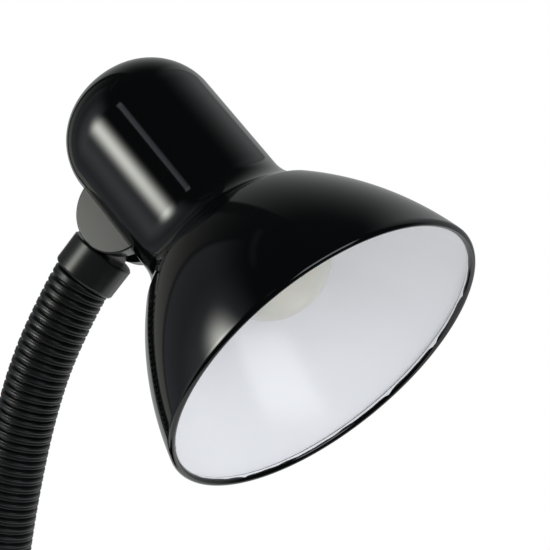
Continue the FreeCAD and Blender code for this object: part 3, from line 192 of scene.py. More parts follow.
# %% Moulded plastics
nylon_black = coated("moulded nylon satin black", "181918", 0.27, 0.5, 0.01, 0.15)
ferrule_black = coated("moulded nylon semi gloss black", "161716", 0.29, 0.5, 0.006, 0.15)
sleeve_black = coated("extruded vinyl sleeve black", "0a0b0c", 0.34, 0.45, 0.02, 0.35)
cover_black = coated("moulded styrene gloss black", "08080a", 0.14, 2.0, 0.003, 0.1)
phenolic_black = coated("moulded phenolic dark brown", "1a1613", 0.3, 0.7, 0.004, 0.2)
nylon_natural = coated("moulded nylon natural", "d8d3c4", 0.45, 0.6, 0.006, 0.04)
lead_grey = coated("extruded lead insulation grey", "9a9a94", 0.5, 0.5, 0.004, 0.05)
pad_foam = coated("cellular rubber black", "1c1c1b", 0.85, 0.9, 0.12, 0.3)
print("plastics ready")

# %% [markdown]
# Metals are shaded by their own colour. Zinc plate is a pale bluish grey with soft blotches, drawn
# and rolled parts have a finer grain, and cast iron keeps the coarse grain of its sand mould.

# %% Metals
BLOTCHES = 180.0


def metal(name, colour, roughness, grain_mm, depth, blotch):
    """Bare metal with a grain of a real size, and patches that are a little rougher or smoother."""
    material, tree, output = new_material(name)
    grain = noise(tree, 1 / (grain_mm * MM), 4.0)
    bump = add(tree, "ShaderNodeBump", {"Height": grain, "Distance": depth * MM})
    rough = ramp(tree, noise(tree, BLOTCHES, 3.0), 0.0, 1.0, roughness - blotch, roughness + blotch)
    shader = add(tree, "ShaderNodeBsdfPrincipled", {
        "Base Color": linear(colour), "Metallic": 1.0, "Roughness": rough, "Normal": bump.outputs[0]})
    finish_with(tree, output, shader)
    return material


zinc = metal("zinc plated steel", "b9bcc0", 0.32, 0.4, 0.004, 0.08)
conduit_steel = metal("wound steel strip", "8e9094", 0.38, 0.3, 0.006, 0.08)
brass = metal("rolled brass", "c9a55c", 0.28, 0.3, 0.003, 0.06)
cap_aluminium = metal("drawn aluminium", "c6c7c9", 0.3, 0.3, 0.003, 0.06)
cast_iron = metal("cast iron", "3c3b3a", 0.62, 0.7, 0.12, 0.1)
black_sheet = coated("painted sheet steel black", "101010", 0.5, 0.9, 0.01, 0.1)
print("metals ready")

# %% [markdown]
# The bulb is switched off. Its glass is frosted inside, so it looks like a smooth warm grey-white
# ball that lets a little light through, under a clear glossy skin. A Mix node keeps its colour
# sockets behind those for numbers and vectors, so they are picked by place.

# %% Frosted glass
MIX_FIRST, MIX_SECOND, MIX_RESULT = 6, 7, 2
frosted, tree, output = new_material("frosted bulb glass")
tone = add(tree, "ShaderNodeMix", {
    "Factor": noise(tree, 90.0, 2.0), MIX_FIRST: linear("cac6bc"), MIX_SECOND: linear("d1cdc4")},
    data_type="RGBA")
glass = add(tree, "ShaderNodeBsdfPrincipled", {
    "Base Color": tone.outputs[MIX_RESULT], "Roughness": 0.35, "IOR": 1.5, "Subsurface Weight": 0.3,
    "Subsurface Scale": 0.004, "Coat Weight": 0.3, "Coat Roughness": 0.08})
finish_with(tree, output, glass)
print("glass ready")

# %% [markdown]
# The shade is spun: a disc of metal pressed over a turning form. So it is drawn here as one outline
# of radius against height, turned about the shade's axis. Its arcs are sampled finely, because a
# gloss surface shows every flat. The outline runs from the dome's tip down the outside, round the
# rolled rim, and back up the inside.

# %% Turning an outline
ON_AXIS = 1e-6


def arc_points(start, finish, radius, count):
    """Points of the short arc between two points, without the first; a radius below zero turns right."""
    a, b = Vector(start), Vector(finish)
    chord = b - a
    half = chord.length / 2
    side = Vector((-chord.y, chord.x)).normalized()
    centre_away = math.sqrt(max(radius * radius - half * half, 0))
    centre = a + chord / 2 + side * math.copysign(centre_away, radius)
    first = math.atan2(a.y - centre.y, a.x - centre.x)
    sweep = math.copysign(2 * math.asin(min(half / abs(radius), 1)), radius)
    return [(centre.x + abs(radius) * math.cos(first + sweep * n / count),
             centre.y + abs(radius) * math.sin(first + sweep * n / count)) for n in range(1, count + 1)]


def turned_mesh(name, outline, matrix, around, materials, slot_of=lambda index: 0):
    """An outline of (radius, height) in millimetres, from axis to axis, turned about that axis."""
    mesh = bpy.data.meshes.new(name)
    work = bmesh.new()
    turns = [2 * math.pi * n / around for n in range(around)]
    rings = []
    for radius, height in outline:
        if radius < ON_AXIS:
            rings.append([work.verts.new(matrix @ Vector((0, 0, height)))] * around)
            continue
        places = [(radius * math.cos(turn), radius * math.sin(turn), height) for turn in turns]
        rings.append([work.verts.new(matrix @ Vector(place)) for place in places])
    for index, (low, high) in enumerate(zip(rings, rings[1:])):
        for n in range(around):
            corners = []
            for vert in (low[n], low[(n + 1) % around], high[(n + 1) % around], high[n]):
                if vert not in corners:
                    corners.append(vert)
            if len(corners) < 3:
                continue
            face = work.faces.new(corners)
            face.smooth = True
            face.material_index = slot_of(index)
    bmesh.ops.recalc_face_normals(work, faces=work.faces)
    work.to_mesh(mesh)
    work.free()
    for material in materials:
        mesh.materials.append(material)
    return new_object(name, mesh)


def keep_edges(piece, angle):
    """Leave an edge sharp where two faces meet at more than this angle."""
    mesh = piece.data
    work = bmesh.new()
    work.from_mesh(mesh)
    for edge in work.edges:
        if len(edge.link_faces) == 2 and edge.calc_face_angle(0) > math.radians(angle):
            edge.smooth = False
    work.to_mesh(mesh)
    work.free()


quarter = arc_points((1, 0), (0, 1), 1, 3)
print("a quarter turn in three steps:", [(round(x, 2), round(y, 2)) for x, y in quarter])

# %% [markdown]
# The shade's sizes are those of the solid. Sheet metal can't turn a true corner, so the barrel
# flows into the bell through a hollow cove, which ends at a soft crest. The rim is rolled inward
# to a round bead. White enamel is sprayed over the bead's inner face, down to a ragged edge.

# %% The shade
RIM, WALL, LIP_WIDTH, LIP_DEPTH = 75.0, 1.0, 3.5, 3.0
BELL_DEPTH, BELL_TOP, BELL_CURVE = 61.25, 44.5, 148.0
BELL_OUT, BELL_UP = 0.64, 0.77  # the bell's heading at its crest
BARREL_LOW, BARREL_HIGH, BARREL_TOP, BARREL_SLOPE = 34.05, 33.1, 127.85, 0.014
CORNER, CROWN = 28.6, 44.4
COVE_START, COVE_STEPS, CREST_SOFT, CREST_ROUND = 81.0, 24, 0.6, 4.0
ROLL, BEAD_INSET, BEAD_BACK, BEAD_EDGE = LIP_WIDTH / 2, 0.35, 2.6, 0.4
WANDER, SPLASH, SPLASH_FROM, NEAR = 0.1, 0.5, 2.2, 0.01
cove_height = COVE_START - BELL_DEPTH
cove_radius = BARREL_LOW - (BARREL_LOW - BARREL_HIGH) * cove_height / (BARREL_TOP - BELL_DEPTH)
cove_rise = BELL_TOP - cove_radius
cove_curve = (cove_height ** 2 + cove_rise ** 2) / (2 * cove_rise)
cove_turn = math.asin(cove_height / cove_curve)


def cove(wall, last_turn):
    """Points of the cove from the barrel to the crest, this far inside the outer face."""
    reach = cove_curve + wall
    turns = [BARREL_SLOPE + (last_turn - BARREL_SLOPE) * n / COVE_STEPS for n in range(COVE_STEPS + 1)]
    middle = cove_radius + cove_curve
    return [(middle - reach * math.cos(turn), reach * math.sin(turn) - COVE_START) for turn in turns]


def dome(wall):
    """The dome's two arcs, this far inside the outer face, from its tip to the barrel."""
    run = CROWN - CORNER
    across = BARREL_HIGH - CORNER
    drop = math.sqrt(run * run - across * across)
    reach = CROWN - wall
    tip = (0.0, drop - BARREL_TOP - reach)
    join = (reach * across / run, drop - BARREL_TOP - reach * drop / run)
    points = [tip] + arc_points(tip, join, reach, 20)
    return points + arc_points(join, (BARREL_HIGH - wall, -BARREL_TOP), CORNER - wall, 24)


outside = dome(0) + cove(0, cove_turn - CREST_SOFT / cove_curve)
crest_end = (BELL_TOP + BELL_OUT * CREST_SOFT, BELL_UP * CREST_SOFT - BELL_DEPTH)
outside += arc_points(outside[-1], crest_end, CREST_ROUND, 6)
outside += arc_points(outside[-1], (RIM - BEAD_INSET, -ROLL), BELL_CURVE, 48)
outside += arc_points(outside[-1], (RIM - ROLL, 0), ROLL, 10)
inside = arc_points(outside[-1], (RIM - LIP_WIDTH, -ROLL), ROLL, 10)
inside += [(RIM - LIP_WIDTH, -BEAD_BACK)]
white_line = len(outside) + len(inside) - 2
inside += arc_points(inside[-1], (RIM - LIP_WIDTH + BEAD_EDGE, -LIP_DEPTH), BEAD_EDGE, 4)
bead_back = len(outside) + len(inside) - 1
inside += [(RIM - 2 * WALL, -LIP_DEPTH)]
inner_crest = (BELL_TOP - BELL_UP * WALL, BELL_OUT * WALL - BELL_DEPTH)
inside += arc_points(inside[-1], inner_crest, -(BELL_CURVE - WALL), 40)
inside += cove(WALL, cove_turn)[::-1]
inside += dome(WALL)[::-1]
shade = turned_mesh("shade_spinning", outside + inside, head_frame, 192, [gloss_black, satin_white],
                    lambda index: int(index == white_line or index >= bead_back))
to_head = head_frame.inverted()
for vertex in shade.data.vertices:
    place = to_head @ vertex.co
    if abs(place.z + ROLL) < NEAR and abs(math.hypot(place.x, place.y) - RIM + LIP_WIDTH) < NEAR:
        around = math.atan2(place.y, place.x)
        ragged = math.sin(31 * around) + math.sin(47 * around + 1) + math.sin(13 * around + 2)
        place.z += WANDER * ragged + (SPLASH if ragged > SPLASH_FROM else 0)
        vertex.co = head_frame @ place
keep_edges(shade, 40)
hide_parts("shade")
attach(shade, "head")
print("shade faces:", len(shade.data.polygons))

# %% [markdown]
# The bulb is blown glass: a ball whose neck draws in along a soft curve to the screw cap.

# %% The bulb's globe
BULB, BULB_DEPTH, GLASS, NECK, BLEND = 26.5, 50.4, 0.8, 12.3, 26.0
GLASS_END = -98.4
blend_reach = BULB + BLEND
blend_down = math.sqrt(blend_reach * blend_reach - (NECK + BLEND) ** 2)
neck_start = -BULB_DEPTH - blend_down
tip = (0, BULB - BULB_DEPTH)
inner_tip = (0, BULB - BULB_DEPTH - GLASS)


def globe_join(wall):
    """Where the ball meets the soft curve, this far inside the outer face."""
    share = (BULB - wall) / blend_reach
    return (NECK + BLEND) * share, -BULB_DEPTH - blend_down * share


globe_outline = [tip] + arc_points(tip, globe_join(0), -BULB, 40)
globe_outline += arc_points(globe_outline[-1], (NECK, neck_start), BLEND, 14)
globe_outline += [(NECK, GLASS_END), (0, GLASS_END)]
globe_outline += [(0, GLASS_END + GLASS), (NECK - GLASS, GLASS_END + GLASS), (NECK - GLASS, neck_start)]
globe_outline += arc_points(globe_outline[-1], globe_join(GLASS), -(BLEND + GLASS), 14)
globe_outline += arc_points(globe_outline[-1], inner_tip, BULB - GLASS, 40)
globe = turned_mesh("bulb_glass", globe_outline, holder_frame, 96, [frosted])
keep_edges(globe, 50)
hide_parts("bulb_globe")
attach(globe, "head")
print("globe faces:", len(globe.data.polygons))

# %% [markdown]
# The neck's middle line is a row of equal bays, each a gentle arc, with a short sharp bend where the
# neck leaves the ferrule. It is the same line that the solids follow.

# %% The neck's middle line
BAY = 25.2
BAY_TURNS = (0, 0.3, 0.7, 1.0, 1.4, 1.8, 2.3, 2.7, 2.3, 4.5, 8.0, 12.7)
BAYS = len(BAY_TURNS)
KINK_TURN, KINK_SHARE, STRAIGHT = 9.0, 0.14, 1e-9
NECK_FOOT = Vector((-32, 0, 44))


def neck_runs():
    """Lengths and turns of the arcs that make up the neck, from the collar up."""
    for number, turn in enumerate(BAY_TURNS):
        if number < BAYS - 1:
            yield BAY, math.radians(turn)
            continue
        gentle = math.radians((turn - KINK_TURN) / 2)
        sharp = BAY * KINK_SHARE
        yield BAY / 2, gentle
        yield BAY / 2 - sharp, gentle
        yield sharp, math.radians(KINK_TURN)


def neck_point(distance):
    """The middle line's place, in metres, at a distance from the collar in millimetres."""
    point, lean, left = NECK_FOOT.copy(), 0.0, distance
    for length, turn in neck_runs():
        part = min(left, length)
        bend = turn * part / length
        if abs(bend) < STRAIGHT:
            point += Vector((math.sin(lean), 0, math.cos(lean))) * part
        else:
            forward = math.cos(lean) - math.cos(lean + bend)
            upward = math.sin(lean + bend) - math.sin(lean)
            point += Vector((forward, 0, upward)) * (part / bend)
        lean += bend
        left -= part
        if left <= 0:
            break
    return point * MM


print("neck ends at, mm:", [round(value / MM, 1) for value in neck_point(BAY * BAYS)])

# %% [markdown]
# The sleeve is a ribbed tube of soft vinyl. Every rib is alike and follows the neck, which is work
# for Geometry Nodes: a grid is rolled up round the middle line, with one of its sides running along
# the ribs and back through the bore. The height of a rib is a curve that can be drawn by hand: a
# steep deep groove, and a crest with a faint dip along its middle. Each bay is a piece of its own,
# because it bends between two bodies.

# %% Nodes for one ribbed bay
AROUND, PER_RIB, BORE_STEPS = 56, 16, 4
RIBS = 7
RIB_SHAPE = ((0.05, 0.0), (0.1, 0.45), (0.18, 0.86), (0.3, 1.0), (0.5, 0.93),
             (0.7, 1.0), (0.82, 0.86), (0.9, 0.45), (0.95, 0.0))


def at_most(tree, value, limit):
    """Whether a number is at most this limit."""
    return add(tree, "FunctionNodeCompare", {0: value, 1: limit}, operation="LESS_EQUAL").outputs[0]


def switch(tree, condition, otherwise, chosen):
    """One of two numbers, by a condition."""
    inputs = {"Switch": condition, "False": otherwise, "True": chosen}
    return add(tree, "GeometryNodeSwitch", inputs, input_type="FLOAT").outputs[0]


def rib_height(tree, phase):
    """The share of a rib's height at a share of its length."""
    shape = add(tree, "ShaderNodeFloatCurve", {"Value": phase})
    curve = shape.mapping.curves[0]
    for x, y in RIB_SHAPE:
        curve.points.new(x, y)
    curve.points[-1].location = (1.0, 0.0)
    shape.mapping.update()
    return shape.outputs[0]


def ribbed_tree():
    """A node tree that rolls a grid into a ribbed tube along a curve."""
    tree = bpy.data.node_groups.new("ribbed sleeve", "GeometryNodeTree")
    tree.interface.new_socket("Geometry", in_out="INPUT", socket_type="NodeSocketGeometry")
    for name, kind in (("Path", "NodeSocketObject"), ("Crest radius", "NodeSocketFloat"),
                       ("Groove radius", "NodeSocketFloat"), ("Bore radius", "NodeSocketFloat"),
                       ("Ribs", "NodeSocketInt"), ("Material", "NodeSocketMaterial")):
        tree.interface.new_socket(name, in_out="INPUT", socket_type=kind)
    tree.interface.new_socket("Geometry", in_out="OUTPUT", socket_type="NodeSocketGeometry")
    given = add(tree, "NodeGroupInput").outputs
    rows = RIBS * PER_RIB + BORE_STEPS + 1
    outer_share = RIBS * PER_RIB / rows
    grid = add(tree, "GeometryNodeMeshGrid", {
        "Size X": 1.0, "Size Y": 1.0, "Vertices X": AROUND + 1, "Vertices Y": rows + 1})
    place = add(tree, "GeometryNodeInputPosition").outputs[0]
    flat = add(tree, "ShaderNodeSeparateXYZ", {0: place}).outputs
    turn = calc(tree, "MULTIPLY", flat["X"], 2 * math.pi)
    along = calc(tree, "ADD", flat["Y"], 0.5)
    # The limits lie a little beside the rows, so that rounding can't carry a row across one.
    outer = ramp(tree, along, 0.0, outer_share)
    inner = ramp(tree, along, outer_share + 0.999 / rows, 1 - 0.001 / rows, 1.0, 0.0)
    is_outer = at_most(tree, along, outer_share + 0.2 / rows)
    before_last = at_most(tree, along, 1 - 0.2 / rows)
    phase = calc(tree, "FRACT", calc(tree, "MULTIPLY", outer, given["Ribs"]))
    rib = ramp(tree, rib_height(tree, phase), 0.0, 1.0, given["Groove radius"], given["Crest radius"])
    radius = switch(tree, is_outer, given["Bore radius"], rib)
    radius = switch(tree, before_last, given["Groove radius"], radius)
    reach = switch(tree, is_outer, inner, outer)
    path = add(tree, "GeometryNodeObjectInfo", {"Object": given["Path"]}, transform_space="RELATIVE")
    sample = add(tree, "GeometryNodeSampleCurve", {"Curves": path.outputs["Geometry"], "Factor": reach},
                 mode="FACTOR", use_all_curves=True).outputs
    side = add(tree, "ShaderNodeCombineXYZ", {"X": 0.0, "Y": 1.0, "Z": 0.0}).outputs[0]
    across = vector_calc(tree, "CROSS_PRODUCT", side, sample["Tangent"])
    across = vector_calc(tree, "NORMALIZE", across)
    first = vector_calc(tree, "SCALE", across, scale=calc(tree, "COSINE", turn))
    second = vector_calc(tree, "SCALE", side, scale=calc(tree, "SINE", turn))
    spoke = vector_calc(tree, "ADD", first, second)
    spoke = vector_calc(tree, "SCALE", spoke, scale=radius)
    point = vector_calc(tree, "ADD", sample["Position"], spoke)
    rolled = add(tree, "GeometryNodeSetPosition", {"Geometry": grid.outputs["Mesh"], "Position": point})
    merged = add(tree, "GeometryNodeMergeByDistance", {"Geometry": rolled.outputs[0], "Distance": 1e-6})
    smooth = add(tree, "GeometryNodeSetShadeSmooth", {"Geometry": merged.outputs[0]})
    real = add(tree, "GeometryNodeRealizeInstances", {"Geometry": smooth.outputs[0]})
    coat = add(tree, "GeometryNodeSetMaterial", {"Geometry": real.outputs[0], "Material": given["Material"]})
    add(tree, "NodeGroupOutput", {0: coat.outputs[0]})
    return tree


ribbed_sleeve = ribbed_tree()
print("tree inputs:", [item.name for item in ribbed_sleeve.interface.items_tree if item.in_out == "INPUT"])

# %% [markdown]
# The tree gives an object that is still live. Its result is taken from the evaluated copy as a plain
# mesh, and the object that carried the modifier, with its path, is removed.

# %% Helpers for node-made pieces


def path_object(name, points):
    """A curve of straight spans through points, in metres."""
    data = bpy.data.curves.new(name, "CURVE")
    data.dimensions = "3D"
    spline = data.splines.new("POLY")
    spline.points.add(len(points) - 1)
    for item, point in zip(spline.points, points):
        item.co = (*point, 1)
    return new_object(name, data)


def plain_result(name, tree, values):
    """Run a node tree with named inputs, and keep what it makes as a plain mesh object."""
    carrier = new_object(name + "_carrier", bpy.data.meshes.new(name + "_carrier"))
    modifier = carrier.modifiers.new("nodes", "NODES")
    modifier.node_group = tree
    for item in tree.interface.items_tree:
        if item.in_out == "INPUT" and item.name in values:
            modifier[item.identifier] = values[item.name]
    graph = bpy.context.evaluated_depsgraph_get()
    mesh = bpy.data.meshes.new_from_object(carrier.evaluated_get(graph), depsgraph=graph)
    mesh.name = name
    bpy.data.objects.remove(carrier)
    return new_object(name, mesh)


def face_outward(piece):
    """Turn a closed mesh's faces outward."""
    work = bmesh.new()
    work.from_mesh(piece.data)
    bmesh.ops.recalc_face_normals(work, faces=work.faces)
    work.to_mesh(piece.data)
    work.free()


print("length of a rib along the neck, mm:", BAY / RIBS)

# %% [markdown]
# Twelve bays go up the neck. Each is made in place along the middle line, and its mesh is baked where
# it stands; it does not bend when the neck is moved. Bay 3 has a branch of its own, which does the
# same. Bay 10 is cut below its fifth rib: the low part rides on the body below its joint and the high
# part on the body above, and a spare rib inside the fifth, on the body below, fills the gap that opens.

# %% The ribbed sleeve
SLEEVE_CREST, SLEEVE_GROOVE, SLEEVE_BORE, PATH_STEPS = 12.5, 10.9, 8.4, 24
FROM_ABOVE, CUT_BAY, CUT_RIBS, CUT_BORE, SPARE_FIT = 3, 10, 4, 9.8, 0.08
bodies_up = ["base"] + ["neck_%02d" % number for number in range(1, BAYS)] + ["neck_top"]


def bend_bay(piece, bay):
    """Bake a piece's place into its mesh; bay 3 has its own branch, which does the same, and nothing bends."""
    if bay == FROM_ABOVE:
        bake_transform(piece)
    else:
        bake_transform(piece)


def sleeve_piece(name, bay, first_rib, ribs, inset=0.0, bore=SLEEVE_BORE):
    """A run of ribs of one bay, whose outside may lie a little inside the sleeve's own."""
    rib_counts = [first_rib + ribs * step / PATH_STEPS for step in range(PATH_STEPS + 1)]
    spans = [neck_point(BAY * (bay - 1 + count / RIBS)) for count in rib_counts]
    path = path_object("bay_path", spans)
    piece = plain_result(name, ribbed_sleeve, {
        "Path": path, "Crest radius": (SLEEVE_CREST - inset) * MM,
        "Groove radius": (SLEEVE_GROOVE - inset) * MM, "Bore radius": bore * MM,
        "Ribs": ribs, "Material": sleeve_black})
    bpy.data.objects.remove(path)
    face_outward(piece)
    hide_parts("neck_sleeve_%02d" % bay)
    return piece, (spans[0], spans[-1])


for bay in range(1, BAYS + 1):
    name = "sleeve_bay_%02d" % bay
    if bay == CUT_BAY:
        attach(sleeve_piece(name + "_low", bay, 0, CUT_RIBS, bore=CUT_BORE)[0], bodies_up[bay - 1])
        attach(sleeve_piece(name + "_spare", bay, CUT_RIBS, 1, SPARE_FIT, CUT_BORE)[0], bodies_up[bay - 1])
        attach(sleeve_piece(name + "_high", bay, CUT_RIBS, RIBS - CUT_RIBS)[0], bodies_up[bay])
    else:
        piece, ends = sleeve_piece(name, bay, 0, RIBS)
        bend_bay(piece, bay)
print("ribs:", BAYS * RIBS, "faces in a bay:", len(piece.data.polygons))

# %% [markdown]
# The lead runs up the middle of the neck, slants through the ferrule's tongue beside the pivot, and
# loops over the lamp holder into its nipple. It crosses every joint, so it is cut where the bays
# are, and in bay 10 as well. Each other length in the neck is baked where it stands and does not
# bend with a joint. A curve with a bevel would serve too, but rings of points give a plain mesh with
# closed ends at once.

# %% Helpers for the lead
LEAD, LEAD_BEND, CORNER_STEPS = 1.5, 6, 8


def tube_piece(name, points, radius, around, material):
    """A round rod through points in metres, its ends closed."""
    mesh = bpy.data.meshes.new(name)
    work = bmesh.new()
    turns = [2 * math.pi * n / around for n in range(around)]
    rings = []
    side = None
    for index, point in enumerate(points):
        before = points[max(index - 1, 0)]
        after = points[min(index + 1, len(points) - 1)]
        heading = (after - before).normalized()
        side = heading.orthogonal() if side is None else side - heading * side.dot(heading)
        side.normalize()
        other = heading.cross(side)
        rings.append([work.verts.new(point + (side * math.cos(turn) + other * math.sin(turn)) * radius)
                      for turn in turns])
    for low, high in zip(rings, rings[1:]):
        for n in range(around):
            face = work.faces.new((low[n], low[(n + 1) % around], high[(n + 1) % around], high[n]))
            face.smooth = True
    work.faces.new(rings[0][::-1])
    work.faces.new(rings[-1])
    work.to_mesh(mesh)
    work.free()
    mesh.materials.append(material)
    return new_object(name, mesh)


def rounded(points, bend):
    """Points of a path whose corners are rounded to a radius."""
    result = [points[0]]
    for before, corner, after in zip(points, points[1:], points[2:]):
        incoming = (corner - before).normalized()
        leaving = (after - corner).normalized()
        turn = incoming.angle(leaving)
        cut = bend * math.tan(turn / 2)
        centre = corner + (leaving - incoming).normalized() * (bend / math.cos(turn / 2))
        first = corner - incoming * cut
        axis = incoming.cross(leaving).normalized()
        for step in range(CORNER_STEPS + 1):
            result.append(centre + Quaternion(axis, turn * step / CORNER_STEPS) @ (first - centre))
    return result + [points[-1]]


def lead_piece(name, points, body=None):
    """A length of the lead, which rides on a body if one is given."""
    piece = tube_piece(name, points, LEAD * MM, 12, lead_grey)
    if body:
        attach(piece, body)
    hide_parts("lamp_lead")
    return piece


print("lead, mm across:", 2 * LEAD, "bend radius:", LEAD_BEND)

# %% [markdown]
# The route is that of the solid: level from the terminal block to the neck's foot, up the neck, then
# along a slant beside the pivot, up the riser, and over the loop down into the nipple. The places in
# the ferrule and in the head are those of their own frames, in millimetres.

# %% The lead through the lamp
WIRE_LEVEL, BLOCK_SIDE, SPAN_STEPS = 10.2, -11.5, 10
SLANT_START, SLANT_SIDE, SLANT_SHARE = -24, -4.9, 0.55
RISER_SIDE, LOOP_LEVEL, NIPPLE_LEVEL, LOOP, LOOP_STEPS = 14.5, -139, -129, 10.9, 20
CUT_DISTANCE, PIVOT_STEPS, HALF_WAY = 7, 8, SPAN_STEPS // 2
base_run = [Vector((BLOCK_SIDE, 0, WIRE_LEVEL)), Vector((NECK_FOOT.x, 0, WIRE_LEVEL)), NECK_FOOT.copy()]
lead_piece("lead_in_base", [point * MM for point in rounded(base_run, LEAD_BEND)], body="base")
for bay in range(1, BAYS + 1):
    name = "lead_bay_%02d" % bay
    spans = [neck_point(BAY * (bay - 1 + step / SPAN_STEPS)) for step in range(SPAN_STEPS + 1)]
    if bay == CUT_BAY:
        lead_piece(name + "_low", spans[:HALF_WAY + 1], body=bodies_up[bay - 1])
        lead_piece(name + "_high", spans[HALF_WAY:], body=bodies_up[bay])
    else:
        bend_bay(lead_piece(name, spans), bay)
slant_low = ferrule_frame @ Vector((0, 0, SLANT_START))
slant_high = ferrule_frame @ Vector((SLANT_SIDE, 0, 0))
low_in_head = to_head @ slant_low
high_in_head = to_head @ slant_high
share = (RISER_SIDE - low_in_head.x) / (high_in_head.x - low_in_head.x)
turn_point = slant_low + (slant_high - slant_low) * share
riser_top = head_frame @ Vector((RISER_SIDE, 0, LOOP_LEVEL))
neck_top_end = neck_point(BAY * BAYS)
knuckle_run = rounded([neck_top_end, slant_low, turn_point, riser_top], LEAD_BEND * MM)
cut_at = next(n for n, point in enumerate(knuckle_run) if (point - turn_point).length < CUT_DISTANCE * MM)
middle = slant_low.lerp(slant_high, SLANT_SHARE)
lead_piece("lead_in_ferrule", knuckle_run[:cut_at] + [middle], body="neck_top")
at_pivot = [middle.lerp(turn_point, n / PIVOT_STEPS) for n in range(PIVOT_STEPS)]
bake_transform(lead_piece("lead_at_pivot", at_pivot))
loop_centre = Vector((RISER_SIDE - LOOP, 0, LOOP_LEVEL))
loop_turns = [math.pi * n / LOOP_STEPS for n in range(LOOP_STEPS + 1)]
loop = [head_frame @ (loop_centre + Vector((LOOP * math.cos(turn), 0, -LOOP * math.sin(turn))))
        for turn in loop_turns]
head_run = rounded([middle.lerp(turn_point, 0.5), turn_point, riser_top], LEAD_BEND * MM)[1:-1]
nipple = head_frame @ Vector((-HOLDER_OFFSET, 0, NIPPLE_LEVEL))
lead_piece("lead_in_head", head_run + loop + [nipple], body="head")
print("lead pieces made")

# %% [markdown]
# The remaining solids have the right shape already, so they keep their meshes and only get their
# finishes, by material slot. The ferrule shares its slot with the knuckle block and the collar, but
# is a little darker and has a shallower grain, so it has a finish of its own.

# %% Finishes of the solids
finish_of_slot = {
    "black_casting": nylon_black, "conduit_steel": conduit_steel, "zinc_steel": zinc, "bracket_steel": zinc,
    "brass": brass, "holder_phenolic": phenolic_black, "cap_aluminium": cap_aluminium,
    "insulator_black": phenolic_black, "cover_black": cover_black, "ballast_iron": cast_iron,
    "bottom_steel": black_sheet, "pad_rubber": pad_foam, "switch_black": cover_black,
    "rocker_black": cover_black, "block_white": nylon_natural, "lead_insulation": lead_grey,
    "shade_enamel": gloss_black, "sleeve_black": sleeve_black, "frosted_glass": frosted,
}
finish_of_node = {"neck_ferrule": ferrule_black}
slot_of_node = {item["node"]: item["material_slot"] for item in frame["record"]["subparts"]}
for name, node in frame["nodes"].items():
    node.data.materials.clear()
    node.data.materials.append(finish_of_node.get(name, finish_of_slot[slot_of_node[name]]))
print("solids finished:", len(slot_of_node))

# %% [markdown]
# The lamp stands on a pale floor that fades to white further out, so that the picture has a plain
# white ground like a studio shot. Its radius and the ends of the fade are in metres.

# %% The floor
FLOOR, FADE_START, FADE_END = 0.42, 0.2, 0.4
floor_mesh = bpy.data.meshes.new("floor")
work = bmesh.new()
bmesh.ops.create_circle(work, cap_ends=True, segments=96, radius=FLOOR)
work.to_mesh(floor_mesh)
work.free()
floor = new_object("floor", floor_mesh)
floor_paint, tree, output = new_material("studio floor")
distance = vector_calc(tree, "LENGTH", add(tree, "ShaderNodeTexCoord").outputs["Object"])
fade = ramp(tree, distance, FADE_START, FADE_END)
paint = add(tree, "ShaderNodeBsdfDiffuse", {"Color": linear("f4f4f4")})
glow = add(tree, "ShaderNodeEmission", {"Color": (1, 1, 1, 1), "Strength": 1.0})
mixed = add(tree, "ShaderNodeMixShader", {0: fade, 1: paint.outputs[0], 2: glow.outputs[0]})
finish_with(tree, output, mixed)
floor_mesh.materials.append(floor_paint)
print("floor ready")

# %% [markdown]
# Black enamel shows nothing of its own, only the room it stands in: so the room is what has to be
# built. Seen in a mirror, this studio has a pale wall behind the lamp that fades upwards, two grey
# flats to the left of it with a soft glow on the nearer one, a pale wall on the right, a thin tube
# and a fainter one under a dark ceiling, and a dark room in front. Each is a soft-edged rectangle of
# directions, given by bearing and height in degrees, with the lamp at the middle.

# %% The studio that the enamel mirrors
DARK_ROOM = (0.022, 0.026, 0.024)
world = bpy.data.worlds.new("studio")
world.use_nodes = True
bpy.context.scene.world = world
tree = world.node_tree
tree.nodes.clear()
ray = add(tree, "ShaderNodeLightPath").outputs
direction = add(tree, "ShaderNodeTexCoord").outputs["Generated"]
parts = add(tree, "ShaderNodeSeparateXYZ", {0: direction}).outputs
level = calc(tree, "MULTIPLY", calc(tree, "ARCSINE", parts["Z"]), 180 / math.pi)


def bearing_from(middle):
    """Degrees of bearing to the left of a middle direction, which is given from the camera's side."""
    turn = math.radians(middle)
    ahead = vector_calc(tree, "DOT_PRODUCT", direction, (-math.sin(turn), -math.cos(turn), 0))
    aside = vector_calc(tree, "DOT_PRODUCT", direction, (-math.cos(turn), math.sin(turn), 0))
    return calc(tree, "MULTIPLY", calc(tree, "ARCTAN2", aside, ahead), 180 / math.pi)


def band(value, low, high, low_edge, high_edge):
    """One between two values, fading to nothing over an edge on each side."""
    rise = ramp(tree, value, low - low_edge, low + low_edge, kind="SMOOTHSTEP")
    fall = ramp(tree, value, high - high_edge, high + high_edge, 1.0, 0.0, kind="SMOOTHSTEP")
    return calc(tree, "MULTIPLY", rise, fall)


def panel(middle, half_width, low, high, side_edge, low_edge, high_edge, strength, tint):
    """Light from a soft-edged panel: its colour times its strength."""
    across = band(bearing_from(middle), -half_width, half_width, side_edge, side_edge)
    upright = band(level, low, high, low_edge, high_edge)
    lit = calc(tree, "MULTIPLY", calc(tree, "MULTIPLY", across, upright), strength)
    return vector_calc(tree, "SCALE", linear(tint)[:3], scale=lit)


